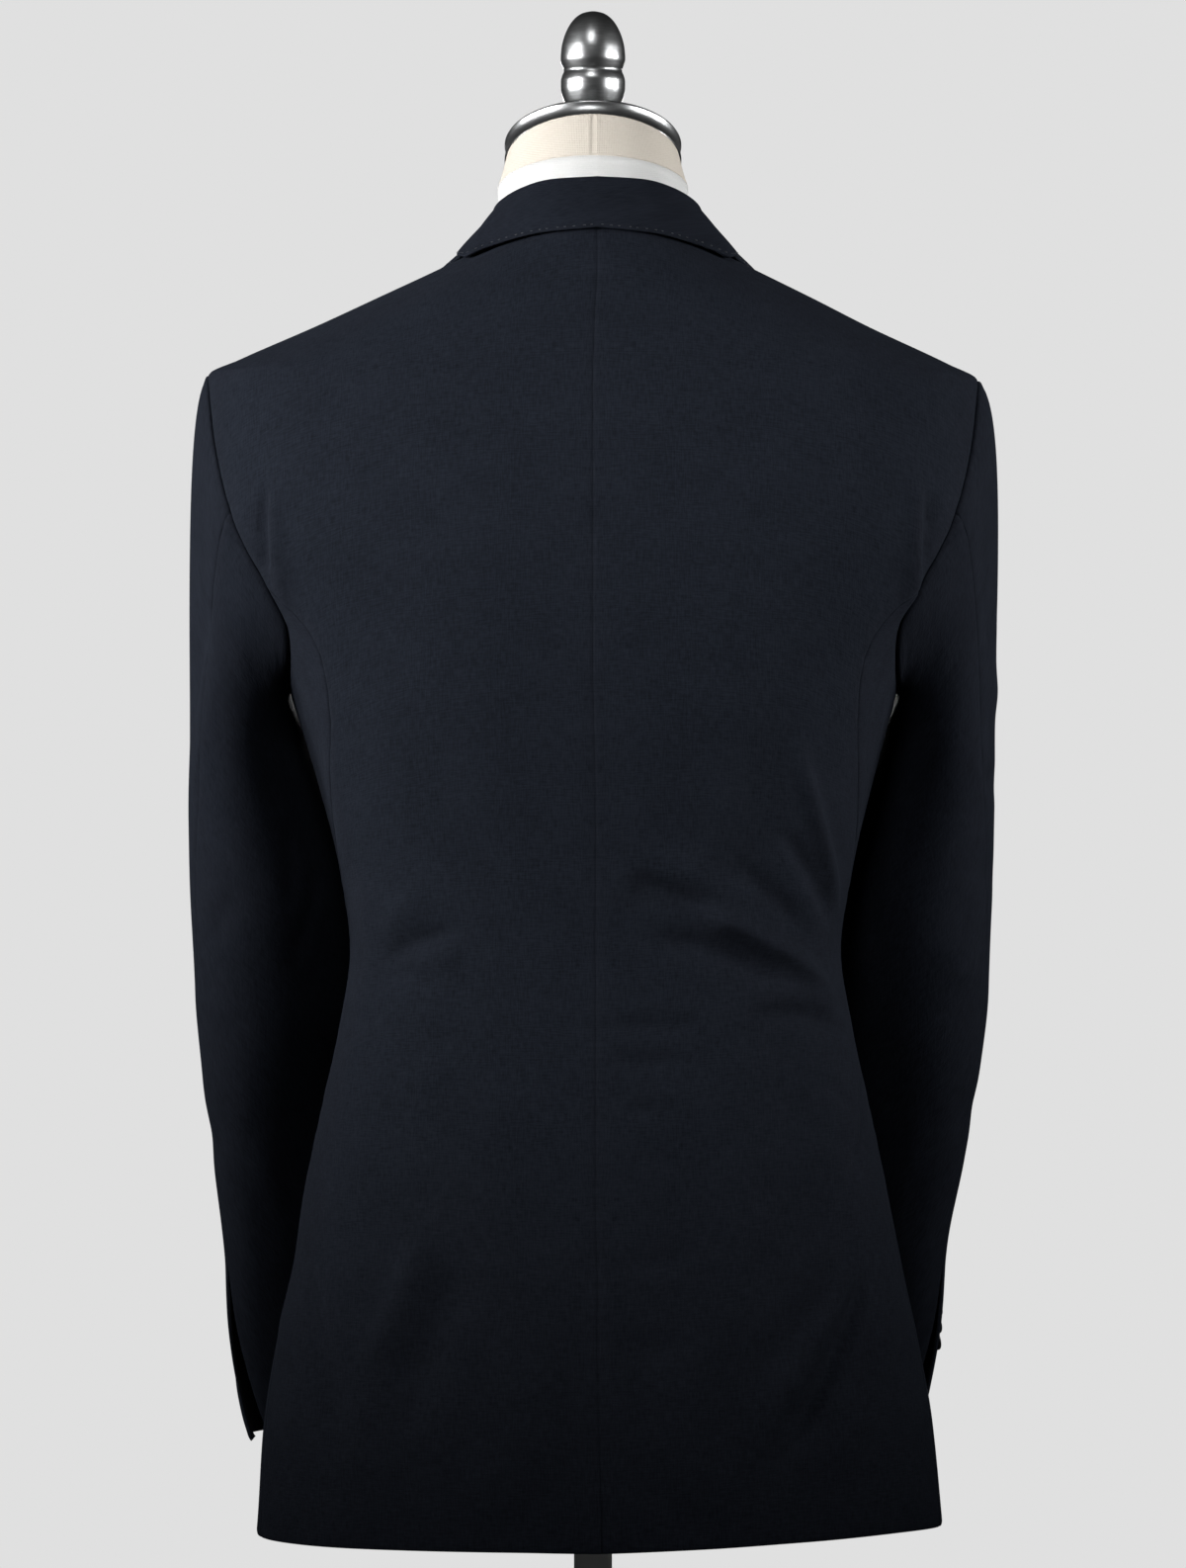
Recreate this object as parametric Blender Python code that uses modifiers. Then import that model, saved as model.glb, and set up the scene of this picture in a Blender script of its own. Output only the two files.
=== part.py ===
"""A tailored blazer worn on a limbless dress form.

Metres, +Z up.  The garment faces -Y, its back faces +Y, and the wearer's left is +X.  The origin is
the middle of the form's base, on the floor.

The garment's body is one worked-out form: level slices, each a superellipse, whose sizes run smoothly
through BODY_SECTIONS.  Panels are open grids on that form between two seam lines, and Solidify gives
each its wall.  The sleeves are two-piece tubes that start at the armhole and run through rings.
"""
import math

import bmesh
import bpy
import numpy as np
from mathutils import Vector

# ---- Cloth and seams -------------------------------------------------------------------------------
HEM_Z = 0.140               # height of the jacket's back hem over the floor
WALL = 0.0020               # wool, canvas and lining together
LAPEL_WALL = 0.0022
SEAM_HALF_GAP = 0.00025     # each piece stops this far short of its seam line
SEAM_EDGE = 0.003           # the narrow last strip of a panel, along its seam
LAYER_GAP = 0.0013          # air between two cloth layers that lie on each other

# ---- The body's level slices -------------------------------------------------------------------------
# height over the hem, half width, centre x, ridge y, back depth, front depth
BODY_SECTIONS = (
    (-0.014, 0.2000, -0.0042, 0.000, 0.1380, 0.1385),
    (0.000, 0.1987, -0.0042, 0.000, 0.1370, 0.1380),
    (0.062, 0.1934, -0.0030, 0.000, 0.1345, 0.1370),
    (0.108, 0.1858, -0.0026, 0.000, 0.1310, 0.1345),
    (0.153, 0.1762, -0.0026, 0.000, 0.1265, 0.1310),
    (0.199, 0.1682, -0.0015, 0.000, 0.1190, 0.1270),
    (0.245, 0.1585, -0.0015, 0.000, 0.1105, 0.1220),
    (0.291, 0.1485, -0.0016, 0.000, 0.1010, 0.1180),
    (0.336, 0.1420, -0.0014, 0.000, 0.0950, 0.1160),
    (0.382, 0.1482, -0.0018, 0.000, 0.0985, 0.1180),
    (0.428, 0.1591, -0.0014, 0.000, 0.1075, 0.1230),
    (0.474, 0.1722, -0.0005, 0.000, 0.1170, 0.1280),
    (0.500, 0.1805, 0.0000, 0.000, 0.1210, 0.1295),
    (0.520, 0.1890, 0.0000, 0.000, 0.1240, 0.1300),
    (0.542, 0.2045, 0.0000, 0.000, 0.1260, 0.1295),
    (0.565, 0.2170, 0.0000, 0.000, 0.1270, 0.1280),
    (0.588, 0.2220, 0.0000, 0.000, 0.1268, 0.1250),
    (0.620, 0.2235, 0.0000, 0.000, 0.1240, 0.1180),
    (0.650, 0.2235, 0.0000, 0.000, 0.1185, 0.1080),
    (0.668, 0.2222, 0.0000, 0.000, 0.1140, 0.1000),
    (0.676, 0.2060, -0.0005, 0.001, 0.1115, 0.0970),
    (0.696, 0.1600, -0.0010, 0.004, 0.1040, 0.0890),
    (0.712, 0.1260, -0.0020, 0.006, 0.0960, 0.0800),
    (0.728, 0.0915, -0.0025, 0.009, 0.0860, 0.0690),
    (0.7335, 0.0800, -0.0025, 0.010, 0.0820, 0.0640),
    (0.757, 0.0300, -0.0025, 0.010, 0.0700, 0.0480),
)
SLICE_POWER = 2.4
RIGHT_SHOULDER_DROP = 0.0030        # the right shoulder sits this much lower than the left one
DROP_START = 0.560          # height over the hem where the drop begins
DROP_REACH = 0.090          # and the rise over which it comes in
# angle round the body, how far the hem is lifted there on the left, on the right
HEM_LIFT = ((0.0, 0.0015, 0.0015), (12.0, 0.0020, 0.0035), (30.0, 0.0018, 0.0060), (55.0, 0.0010, 0.0078),
            (90.0, 0.0000, 0.0060), (112.0, 0.0000, 0.0000), (180.0, 0.0000, 0.0000))
HEM_LIFT_REACH = 0.150              # height over the hem at which the lift has died away

# ---- Seam lines of the panels: height over the hem, angle from the centre back in degrees -----------
BACK_SEAM = ((-0.014, 78.0), (0.150, 84.0), (0.336, 92.0), (0.390, 82.0), (0.430, 69.0), (0.474, 58.5),
             (0.505, 55.5), (0.530, 58.5), (0.556, 67.0))
FRONT_SEAM = ((-0.014, 113.0), (0.336, 115.0), (0.480, 114.0), (0.560, 114.0))

# ---- The armhole: depth y and height over the hem at even steps round it, from the shoulder backwards
ARMHOLE = (
    (0.000, 0.6680), (0.023, 0.6590), (0.037, 0.6330), (0.050, 0.6060), (0.061, 0.5780), (0.067, 0.5500),
    (0.059, 0.5190), (0.034, 0.4935), (-0.002, 0.4840), (-0.038, 0.4930), (-0.063, 0.5180),
    (-0.073, 0.5500), (-0.070, 0.5850), (-0.056, 0.6180), (-0.037, 0.6430), (-0.017, 0.6600),
)

SHOULDER_HEIGHT = ARMHOLE[0][1]     # over the hem, where the shoulder seam meets the armhole
SHOULDER_HALF = 0.2222              # half width between the two shoulder points
NECK_POINT_HEIGHT = 0.7335          # over the hem, where the shoulder seam meets the neckline
NAPE_LIFT = 0.0235          # the back neckline rises this much from the shoulder seam to the centre
NAPE_START = 0.600          # the back's rows start to arch from this height

# ---- Shares of a panel's height, from the hem to where its side seam meets the armhole ---------------
PANEL_SHARES = (0.0, 0.010, 0.030, 0.060, 0.105, 0.16, 0.23, 0.31, 0.39, 0.47, 0.54, 0.61, 0.68, 0.75, 0.82,
                0.88, 0.94, 1.0)
UNDERARM_EASE = 0.0015      # the side body stops this far below the armhole's lowest part
SIDE_PANEL_WIDTH = 0.105    # about, for the narrow strips at its seams
# heights over the hem of the rows beside the armhole, up to the shoulder point
ARMHOLE_ROWS = (0.568, 0.590, 0.612, 0.632, 0.648, 0.658, 0.6645)
SHOULDER_ROWS = 7
SINK_START = 0.62           # above this height a front's rows dip towards the neck

# ---- The back's largest folds: start x, start height, end x, end height, half width, depth ----------
BACK_FOLDS = (
    (-0.045, 0.362, -0.136, 0.318, 0.0095, -0.0050),    # deep groove above the right hip
    (-0.068, 0.378, -0.142, 0.328, 0.0085, 0.0045),     # the ridge over it
    (-0.006, 0.402, -0.060, 0.374, 0.0100, -0.0030),
    (-0.113, 0.470, -0.141, 0.352, 0.0090, 0.0030),
    (-0.080, 0.306, -0.138, 0.290, 0.0070, -0.0032),
    (-0.012, 0.292, -0.055, 0.292, 0.0080, -0.0018),
    (-0.155, 0.160, -0.100, 0.045, 0.0120, -0.0055),    # long fold down the right skirt
    (-0.148, 0.190, -0.082, 0.100, 0.0110, -0.0030),
    (-0.184, 0.610, -0.178, 0.530, 0.0090, 0.0035),     # drape behind the right arm
    (0.186, 0.600, 0.183, 0.540, 0.0070, -0.0035),      # crease beside the left armhole
    (0.118, 0.318, 0.086, 0.330, 0.0080, -0.0028),
    (0.096, 0.176, 0.120, 0.100, 0.0110, 0.0030),
)

FOLD_FULL = 0.35            # a fold keeps its depth this far from its middle, in shares of its length
FOLD_FADE = 0.15            # and dies away over about this much more

# ---- Front edge and lapel ----------------------------------------------------------------------------
OVERLAP = 0.018             # each front passes the centre by this much
BREAK_HEIGHT = 0.350        # where the lapel starts to turn, over the hem
ROLL_TOP_X = 0.0710         # the roll line meets the collar here
ROLL_TOP_HEIGHT = 0.7050
CUTAWAY_START = 0.200       # the front edge leaves the centre below this height
CUTAWAY_SWING = 0.034
QUARTER_HEIGHT = 0.070      # height of the rounded corner at the hem
QUARTER_WIDTH = 0.075
FRONT_HEM_DROP = 0.010      # the fronts hang this much lower than the back
UNDERLAP_DEPTH = 0.0072     # how far the right front lies behind the left one
UNDERLAP_REACH = 0.085      # the let-in dies away this far from the centre
UNDERLAP_TOP = 0.570        # and at this height over the hem
UNDERLAP_FULL = 0.435       # it is let in fully below this height
LAPEL_TIP = (0.1300, 0.6560)        # x and height over the hem of the lapel's corner
LAPEL_FOOT = (0.007, -0.001)        # the long edge starts this far from the roll line's lower end
LAPEL_SHARES = (0.24, 0.5, 0.76, 1.0)
LAPEL_BELLY = 0.006         # outward swell of the lapel's long edge
ROLL_GAP = 0.0014           # air between a front's edge and the lapel that turns over it
LAPEL_FULL_WIDTH = 0.060    # width from which the lapel bows fully
LAPEL_STAND = 0.0022        # how far the lapel's middle bows off the front
NOTCH_SHARE = 0.56          # share of the gorge that the collar is sewn to

# ---- Collar: stations from the centre back (0) over the shoulder (4) to the front end of the gorge (7)
# station, fold x, fold y, fold height, fall edge's angle round the body, fall edge's height
COLLAR_STATIONS = (
    (0.0, 0.0000, 0.0660, 0.7780, 0.0, 0.7460),
    (1.0, 0.0253, 0.0620, 0.7768, 32.0, 0.7412),
    (2.0, 0.0430, 0.0480, 0.7730, 50.0, 0.7345),
    (3.0, 0.0585, 0.0220, 0.7645, 56.0, 0.7300),
    (4.0, 0.0620, -0.0040, 0.7560, 90.0, 0.7338),
    (5.0, 0.0640, -0.0270, 0.7450, 120.0, 0.7165),
    (6.0, 0.0670, -0.0500, 0.7270, 133.0, 0.6980),
    (7.0, 0.0710, -0.0735, 0.7062, 152.6, 0.6776),
)
COLLAR_END = 7.0
FALL_SHARES = (0.25, 0.5, 0.75, 1.0)
FALL_EDGE_GAP = 0.0017      # air between the fall's edge and the panels
COLLAR_ARC = ((-1.0, -1.0), (-0.7, -0.3), (0.0, 0.0), (0.7, -0.3), (1.0, -1.0))  # the fold, in its radius
STAND_SHARE = 0.55          # place of the stand's middle column
GORGE_GAP = 0.0008          # along the roll line, from the gorge to the collar's end and to the lapel
COLLAR_SHOULDER = 4.0
COLLAR_FOLD_RADIUS = 0.0026
COLLAR_FOOT_GAP = 0.0011    # air between the collar's foot and the neckline
COLLAR_CENTRE_X = -0.0025
FALL_SWELL = 0.0014         # outward curve of the fall between its fold and its edge
FALL_FRONT_SWELL = 0.0022   # and so much more in front of the shoulder
FALL_FRONT_REACH = 1.5      # stations over which that comes in

# ---- Sleeves: height over the hem, centre x, centre y, half width, half depth, yaw in degrees,
#      how much further in and forward the right sleeve hangs at that height ---------------------------
SLEEVE_RINGS = (
    (0.455, 0.1984, -0.038, 0.0332, 0.0800, 9.0, 0.0000, 0.012),
    (0.410, 0.1915, -0.041, 0.0398, 0.0740, 15.0, 0.0011, 0.014),
    (0.360, 0.1867, -0.043, 0.0438, 0.0690, 18.0, 0.0012, 0.013),
    (0.310, 0.1846, -0.055, 0.0440, 0.0660, 20.0, 0.0008, 0.009),
    (0.260, 0.1838, -0.070, 0.0390, 0.0640, 24.0, 0.0020, 0.010),
    (0.210, 0.1796, -0.088, 0.0340, 0.0620, 30.0, 0.0044, 0.012),
    (0.160, 0.1742, -0.103, 0.0300, 0.0600, 36.0, 0.0080, 0.014),
    (0.110, 0.1698, -0.115, 0.0270, 0.0590, 41.0, 0.0088, 0.014),
    (0.060, 0.1626, -0.125, 0.0250, 0.0580, 44.0, 0.0097, 0.014),
    (0.047, 0.1595, -0.127, 0.0245, 0.0580, 44.0, 0.0094, 0.014),
)
SLEEVE_POWER = 2.1
CAP_SHARE = 0.34            # share of a sleeve's rows that the head takes
ARMHOLE_GAP = 0.0012        # air between the armhole's edge and the sleeve head
UNDERARM_REACH = 0.019      # how far the sleeve springs out under the arm
CAP_REACH = {1: 0.045, -1: 0.060}   # how far each sleeve head springs out at the shoulder
HEAD_SPREAD = 0.004         # backward and forward lean as the head leaves the armhole
HEAD_FALL = (0.004, 0.016, 0.014)   # downward lean: all round, more at the shoulder, more at both sides
HEAD_STRAIGHT = 1.15        # how hard the head straightens into the hanging ring
HEAD_SHARES = (0.0, 0.05, 0.16, 0.32, 0.52, 0.75)   # places of the head's rows, of its own length
ELBOW_SEAM = ((0.000, 83.0), (0.130, 80.0), (0.250, 71.0), (0.385, 62.0), (0.475, 52.0), (0.600, 47.0),
              (0.750, 56.0), (0.860, 76.0), (0.990, 100.0), (1.000, 101.0))
INNER_SEAM = ((0.000, 235.0), (1.000, 222.0))
VENT_HEIGHT = 0.150         # the cuff vent runs from here down, over the hem
VENT_FLARE = {1: 0.0062, -1: 0.0050}   # how far the vent's flap stands off sideways at the cuff
VENT_ONSET = 2              # power of its easing in, from the vent's top down
VENT_CORNER = 28.0          # degrees over which the vent's two lower corners leave the cuff's level
VENT_TIP_DROP = 0.0022      # the flap's corner hangs this much lower
VENT_UNDER_LIFT = 0.0060    # and the corner below it sits this much higher
VENT_FLARE_DEGREES = 34.0   # width of the flap that stands off, round the sleeve from the seam
VENT_EASE = 4.0             # degrees that the under half stops short of the vent at the cuff

# ---- Buttons -----------------------------------------------------------------------------------------
FRONT_BUTTON_RADIUS = 0.0100
FRONT_BUTTON_THICKNESS = 0.0036
FRONT_BUTTON_HEIGHTS = (0.332, 0.222)
CUFF_BUTTON_RADIUS = 0.0072
CUFF_BUTTON_THICKNESS = 0.0022
CUFF_BUTTON_COUNT = 4
CUFF_BUTTON_PITCH = 0.0098
CUFF_BUTTON_FIRST = 0.131   # height of the top one over the hem
CUFF_BUTTON_TILT = 17.0     # degrees, each laps over the next
CUFF_BUTTON_TURN = {1: 60.0, -1: 48.0}  # degrees round the sleeve from the elbow seam to the buttons' middle
CUFF_BUTTON_GAP = 0.0006    # air under a button's lowest edge

# ---- Pockets -----------------------------------------------------------------------------------------
FLAP_HEIGHT = 0.226         # the flap's upper edge over the hem
FLAP_DROP = 0.050
FLAP_INNER_X = 0.070
FLAP_OUTER_ANGLE = 113.0    # degrees round the body, from the centre back
WELT_INNER_X = 0.095
WELT_OUTER_X = 0.178
WELT_HEIGHT = 0.560
WELT_RISE = 0.012
WELT_DROP = 0.024
POCKET_WALL = 0.0016
FLAP_SLOPE = 0.004          # the flap's outer end sits this much lower

# ---- The dress form ----------------------------------------------------------------------------------
# height over the floor, half width, centre y, half depth, forward tilt of the ring in degrees
TORSO_RINGS = (
    (0.1720, 0.1500, 0.000, 0.1080, 0.0),
    (0.2000, 0.1620, 0.000, 0.1150, 0.0),
    (0.2700, 0.1660, 0.000, 0.1150, 0.0),
    (0.3500, 0.1500, 0.000, 0.1050, 0.0),
    (0.4200, 0.1340, 0.000, 0.0930, 0.0),
    (0.4760, 0.1280, -0.004, 0.0880, 0.0),
    (0.5300, 0.1360, -0.006, 0.0930, 0.0),
    (0.6000, 0.1540, -0.006, 0.1040, 0.0),
    (0.6600, 0.1640, -0.003, 0.1120, 0.0),
    (0.7200, 0.1700, 0.000, 0.1080, 0.0),
    (0.7600, 0.1700, 0.004, 0.0980, 0.0),
    (0.7850, 0.1620, 0.006, 0.0880, 1.0),
    (0.8050, 0.1440, 0.008, 0.0790, 2.0),
    (0.8250, 0.1160, 0.009, 0.0700, 4.0),
    (0.8420, 0.0860, 0.009, 0.0620, 7.0),
    (0.8580, 0.0640, 0.007, 0.0570, 10.0),
    (0.8740, 0.0560, 0.004, 0.0540, 13.0),
    (0.8900, 0.0535, 0.001, 0.0535, 15.0),
    (0.9150, 0.0552, 0.000, 0.0552, 16.0),
)
TORSO_POWER = 2.3
NECK_POWER = 2.0
NECK_START_Z = 0.800        # the rings turn from the torso's plan to the neck's from here
NECK_BLEND = 0.090
NECK_WAIST_RADIUS = 0.0525
FORM_GAP = 0.0003
NECK_TOP_Z = 0.9314
NECK_TOP_RADIUS = 0.0504
CAP_TILT = 25.0
CAP_RADIUS = 0.0512
CAP_THICKNESS = 0.0098
CAP_EDGE = 0.0012
FINIAL_FOOT_Z = 0.9420
# radius and height over the finial's foot, from the foot to the crown
FINIAL_PROFILE = (
    (0.0108, 0.0095), (0.0112, 0.0120), (0.0140, 0.0190), (0.0172, 0.0260), (0.0186, 0.0330), (0.0186, 0.0365),
    (0.0178, 0.0400), (0.0168, 0.0425), (0.0176, 0.0450), (0.0187, 0.0495), (0.0183, 0.0555), (0.0168, 0.0620),
    (0.0142, 0.0680), (0.0105, 0.0730), (0.0060, 0.0760), (0.0020, 0.0770),
)
POST_RADIUS = 0.0110
BASE_RADIUS = 0.1450
BASE_THICKNESS = 0.0140
BASE_EDGE = 0.0040

# ---- Grid density ------------------------------------------------------------------------------------
BACK_COLUMNS = 8
SIDE_COLUMNS = 7
FRONT_COLUMNS = 9
SLEEVE_TOP_COLUMNS = 12
SLEEVE_UNDER_COLUMNS = 7
SLEEVE_ROWS = 13
LAPEL_ARC_POINTS = 5
COLLAR_ROWS_PER_STATION = 2
TORSO_SIDES = 26
ROUND_SIDES = 28
BUTTON_SIDES = 14
BASE_SIDES = 36

# ---- Colours: base colour, roughness, metallic -------------------------------------------------------
WOOL = ((0.016, 0.020, 0.032), 0.78, 0.0)
WOOL_UNDER = ((0.014, 0.018, 0.029), 0.80, 0.0)
HORN = ((0.012, 0.012, 0.016), 0.35, 0.0)
JERSEY = ((0.78, 0.78, 0.77), 0.75, 0.0)
LINEN = ((0.68, 0.61, 0.53), 0.85, 0.0)
BRUSHED = ((0.42, 0.43, 0.44), 0.34, 1.0)
ENAMEL = ((0.80, 0.80, 0.80), 0.35, 0.0)

LEFT = 1
RIGHT = -1
SIDE_NAMES = {LEFT: "left", RIGHT: "right"}


# ======================================================================================================
# Smooth tables
# ======================================================================================================
def smooth(table, column, at):
    """Read a column of a table between its rows, as a cubic that never overshoots the rows."""
    rows = np.array([(row[0], row[column]) for row in table])
    knots, values = rows[:, 0], rows[:, 1]
    at = np.clip(np.asarray(at, dtype=float), knots[0], knots[-1])
    steps = np.diff(knots)
    slopes = np.diff(values) / steps
    tangents = np.zeros(len(knots))
    product = slopes[:-1] * slopes[1:]
    total = np.where(np.abs(slopes[:-1] + slopes[1:]) < 1e-12, 1.0, slopes[:-1] + slopes[1:])
    tangents[1:-1] = np.where(product > 0.0, 2.0 * product / total, 0.0)
    tangents[0], tangents[-1] = slopes[0], slopes[-1]
    span = np.clip(np.searchsorted(knots, at, side="right") - 1, 0, len(steps) - 1)
    t = (at - knots[span]) / steps[span]
    return (values[span] * (2 * t**3 - 3 * t**2 + 1) + values[span + 1] * (3 * t**2 - 2 * t**3)
            + steps[span] * (tangents[span] * (t**3 - 2 * t**2 + t) + tangents[span + 1] * (t**3 - t**2)))


def closed_curve(points, at):
    """Read a closed Catmull-Rom curve through evenly numbered points; `at` runs 0 to 1 round it."""
    points = np.array(points)
    count = len(points)
    place = (np.asarray(at, dtype=float) % 1.0) * count
    first = np.floor(place).astype(int)
    t = (place - first)[..., None]
    a, b, c, d = (points[(first + k) % count] for k in (-1, 0, 1, 2))
    return 0.5 * (2 * b + (c - a) * t + (2 * a - 5 * b + 4 * c - d) * t**2 + (3 * b - a - 3 * c + d) * t**3)


def signed_power(value, power):
    """Raise the size of a number to a power and keep its sign."""
    return np.sign(value) * np.abs(value) ** power


def unit(vectors):
    """Scale vectors to length one."""
    return vectors / np.maximum(np.linalg.norm(vectors, axis=-1, keepdims=True), 1e-12)


def grid_normals(points, flip=1.0):
    """Normals of a grid of points, from the cross product of its two directions."""
    across = np.gradient(points, axis=1)
    along = np.gradient(points, axis=0)
    return unit(np.cross(across, along)) * flip


# ======================================================================================================
# The garment's body form
# ======================================================================================================
def body_point(side, angle, height):
    """Point of the body form: angle in degrees from the centre back, height over the hem."""
    angle, height = np.broadcast_arrays(np.asarray(angle, float), np.asarray(height, float))
    turn = np.radians(angle)
    half = smooth(BODY_SECTIONS, 1, height)
    centre = smooth(BODY_SECTIONS, 2, height)
    ridge = smooth(BODY_SECTIONS, 3, height)
    depth = np.where(np.cos(turn) > 0.0, smooth(BODY_SECTIONS, 4, height), smooth(BODY_SECTIONS, 5, height))
    x = centre + side * half * signed_power(np.sin(turn), 2.0 / SLICE_POWER)
    y = ridge + depth * signed_power(np.cos(turn), 2.0 / SLICE_POWER)
    raised = np.clip(1.0 - height / HEM_LIFT_REACH, 0.0, 1.1) ** 2
    lift = smooth(HEM_LIFT, 1 if side == LEFT else 2, angle) * raised
    drop = 0.0
    if side == RIGHT:
        shoulder = np.clip((height - DROP_START) / DROP_REACH, 0.0, 1.0)
        drop = RIGHT_SHOULDER_DROP * shoulder**2 * (3 - 2 * shoulder) * (x / SHOULDER_HALF) ** 2
    return np.stack([x, y, HEM_Z + height + lift - drop], axis=-1)


def angle_at_x(side, x, height, front):
    """Angle round the body at which a level slice reaches a given x."""
    half = smooth(BODY_SECTIONS, 1, height)
    centre = smooth(BODY_SECTIONS, 2, height)
    share = np.clip((np.asarray(x, float) - centre) * side / half, -1.0, 1.0)
    turn = np.degrees(np.arcsin(signed_power(share, SLICE_POWER / 2.0)))
    return 180.0 - turn if front else turn


def angle_at_y(y, height):
    """Angle round the body at which a level slice reaches a given y."""
    ridge = smooth(BODY_SECTIONS, 3, height)
    depth = np.where(y > ridge, smooth(BODY_SECTIONS, 4, height), smooth(BODY_SECTIONS, 5, height))
    share = np.clip((y - ridge) / depth, -1.0, 1.0)
    return np.degrees(np.arccos(signed_power(share, SLICE_POWER / 2.0)))


def body_normal(side, angle, height):
    """Outward normal of the body form, from small steps in both directions."""
    small_turn, small_rise = 0.05, 0.0005
    turned = body_point(side, angle + small_turn, height) - body_point(side, angle - small_turn, height)
    raised = body_point(side, angle, height + small_rise) - body_point(side, angle, height - small_rise)
    return unit(np.cross(raised, turned)) * side


def armhole_angle_height(share):
    """Angle round the body and height over the hem of the armhole, `share` running 0 to 1 round it."""
    loop = closed_curve(ARMHOLE, share)
    return angle_at_y(loop[..., 0], loop[..., 1]), loop[..., 1]


def armhole_edge(front):
    """The armhole's back or front half as rising heights and their angles, for reading one from the other."""
    lowest = int(np.argmin([row[1] for row in ARMHOLE])) / len(ARMHOLE)
    shares = np.linspace(lowest, 1.0, 200) if front else np.linspace(lowest, 0.0, 200)
    angles, heights = armhole_angle_height(shares)
    heights = np.maximum.accumulate(heights)
    return heights, angles


def seam_meets_armhole(seam, front):
    """Height over the hem at which a side seam runs into the armhole."""
    heights, angles = armhole_edge(front)
    gap = (angles - smooth(seam, 1, heights)) * (1.0 if front else -1.0)
    return float(heights[np.nonzero(gap > 0.0)[0][0]])


def fold_depth(folds, points):
    """Push of the folds at points of the back: a rounded furrow along each line, faded at its ends."""
    push = np.zeros(points.shape[:-1])
    for start_x, start_height, end_x, end_height, width, depth in folds:
        start = np.array([start_x, start_height + HEM_Z])
        run = np.array([end_x, end_height + HEM_Z]) - start
        offset = points[..., (0, 2)] - start
        along = (offset @ run) / (run @ run)
        across = (offset[..., 0] * run[1] - offset[..., 1] * run[0]) / math.hypot(*run)
        past = np.clip(np.abs(along - 0.5) - FOLD_FULL, 0.0, None)
        fade = np.exp(-((past / FOLD_FADE) ** 2))
        push = push + depth * np.exp(-((across / width) ** 2)) * fade * (points[..., 1] > 0.0)
    return push


def strip_places(length, columns):
    """Distances along a row: a narrow strip at either seam and even columns between."""
    first, last = SEAM_HALF_GAP, length - SEAM_HALF_GAP
    edge = min(SEAM_EDGE, (last - first) / (columns + 2))
    return np.concatenate([[first], np.linspace(first + edge, last - edge, columns - 1), [last]])


def spread_along(line, columns):
    """Even real distances along a curve; `line` maps shares 0 to 1 to points. Returns the shares."""
    steps = np.linspace(0.0, 1.0, 241)
    points = line(steps)
    run = np.concatenate([[0.0], np.cumsum(np.linalg.norm(np.diff(points, axis=0), axis=1))])
    return np.interp(strip_places(run[-1], columns), run, steps)


def spread_row(side, start_angle, end_angle, heights, columns):
    """Angles and heights along one row of a panel; `heights` maps shares 0 to 1 to heights."""
    shares = spread_along(lambda s: body_point(side, start_angle + (end_angle - start_angle) * s, heights(s)),
                          columns)
    return start_angle + (end_angle - start_angle) * shares, heights(shares)


def panel_rows(floor, junction):
    """Heights of a panel's rows: up to the armhole, beside it, and over the shoulder to the neck point."""
    low = floor + (junction - floor) * np.array(PANEL_SHARES)
    beside = [height for height in ARMHOLE_ROWS if height > junction + 0.008]
    over = np.linspace(SHOULDER_HEIGHT, NECK_POINT_HEIGHT, SHOULDER_ROWS + 1)
    return np.concatenate([low, beside, over])


# ======================================================================================================
# Making objects
# ======================================================================================================
def make_material(name, finish):
    """A Principled material of one colour, roughness and metallic value."""
    colour, roughness, metallic = finish
    material = bpy.data.materials.new(name)
    material.use_nodes = True
    shader = material.node_tree.nodes["Principled BSDF"]
    shader.inputs["Base Color"].default_value = (*colour, 1.0)
    shader.inputs["Roughness"].default_value = roughness
    shader.inputs["Metallic"].default_value = metallic
    material.diffuse_color = (*colour, 1.0)
    return material


def place_mesh(name, build, finish):
    """Make an object from a bmesh builder and put it in the part's collection."""
    mesh = bpy.data.meshes.new(name)
    shape = bmesh.new()
    build(shape)
    shape.to_mesh(mesh)
    shape.free()
    mesh.materials.append(make_material(name + "_finish", finish))
    mesh.shade_smooth()
    item = bpy.data.objects.new(name, mesh)
    bpy.data.collections["blazer_on_dress_form"].objects.link(item)
    return item


def move_grid(shape, points):
    """Fill a bmesh with a flat grid and move its vertices to a rows x columns array of points."""
    rows, columns = points.shape[:2]
    bmesh.ops.create_grid(shape, x_segments=columns - 1, y_segments=rows - 1, size=1.0)
    for vertex in shape.verts:
        column = round((vertex.co.x + 1.0) / 2.0 * (columns - 1))
        row = round((vertex.co.y + 1.0) / 2.0 * (rows - 1))
        vertex.co = points[row, column]


def cloth_sheet(name, points, outward, finish=WOOL, wall=WALL):
    """An open grid of points on the cloth's outer face, given its wall inwards by Solidify."""
    item = place_mesh(name, lambda shape: move_grid(shape, points), finish)
    middle = (points.shape[0] // 2, points.shape[1] // 2)
    faces_out = np.dot(grid_normals(points)[middle], outward[middle]) > 0.0
    if not faces_out:
        item.data.flip_normals()
    solidify = item.modifiers.new("wall", "SOLIDIFY")
    solidify.thickness = wall
    solidify.offset = -1.0
    return item


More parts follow.
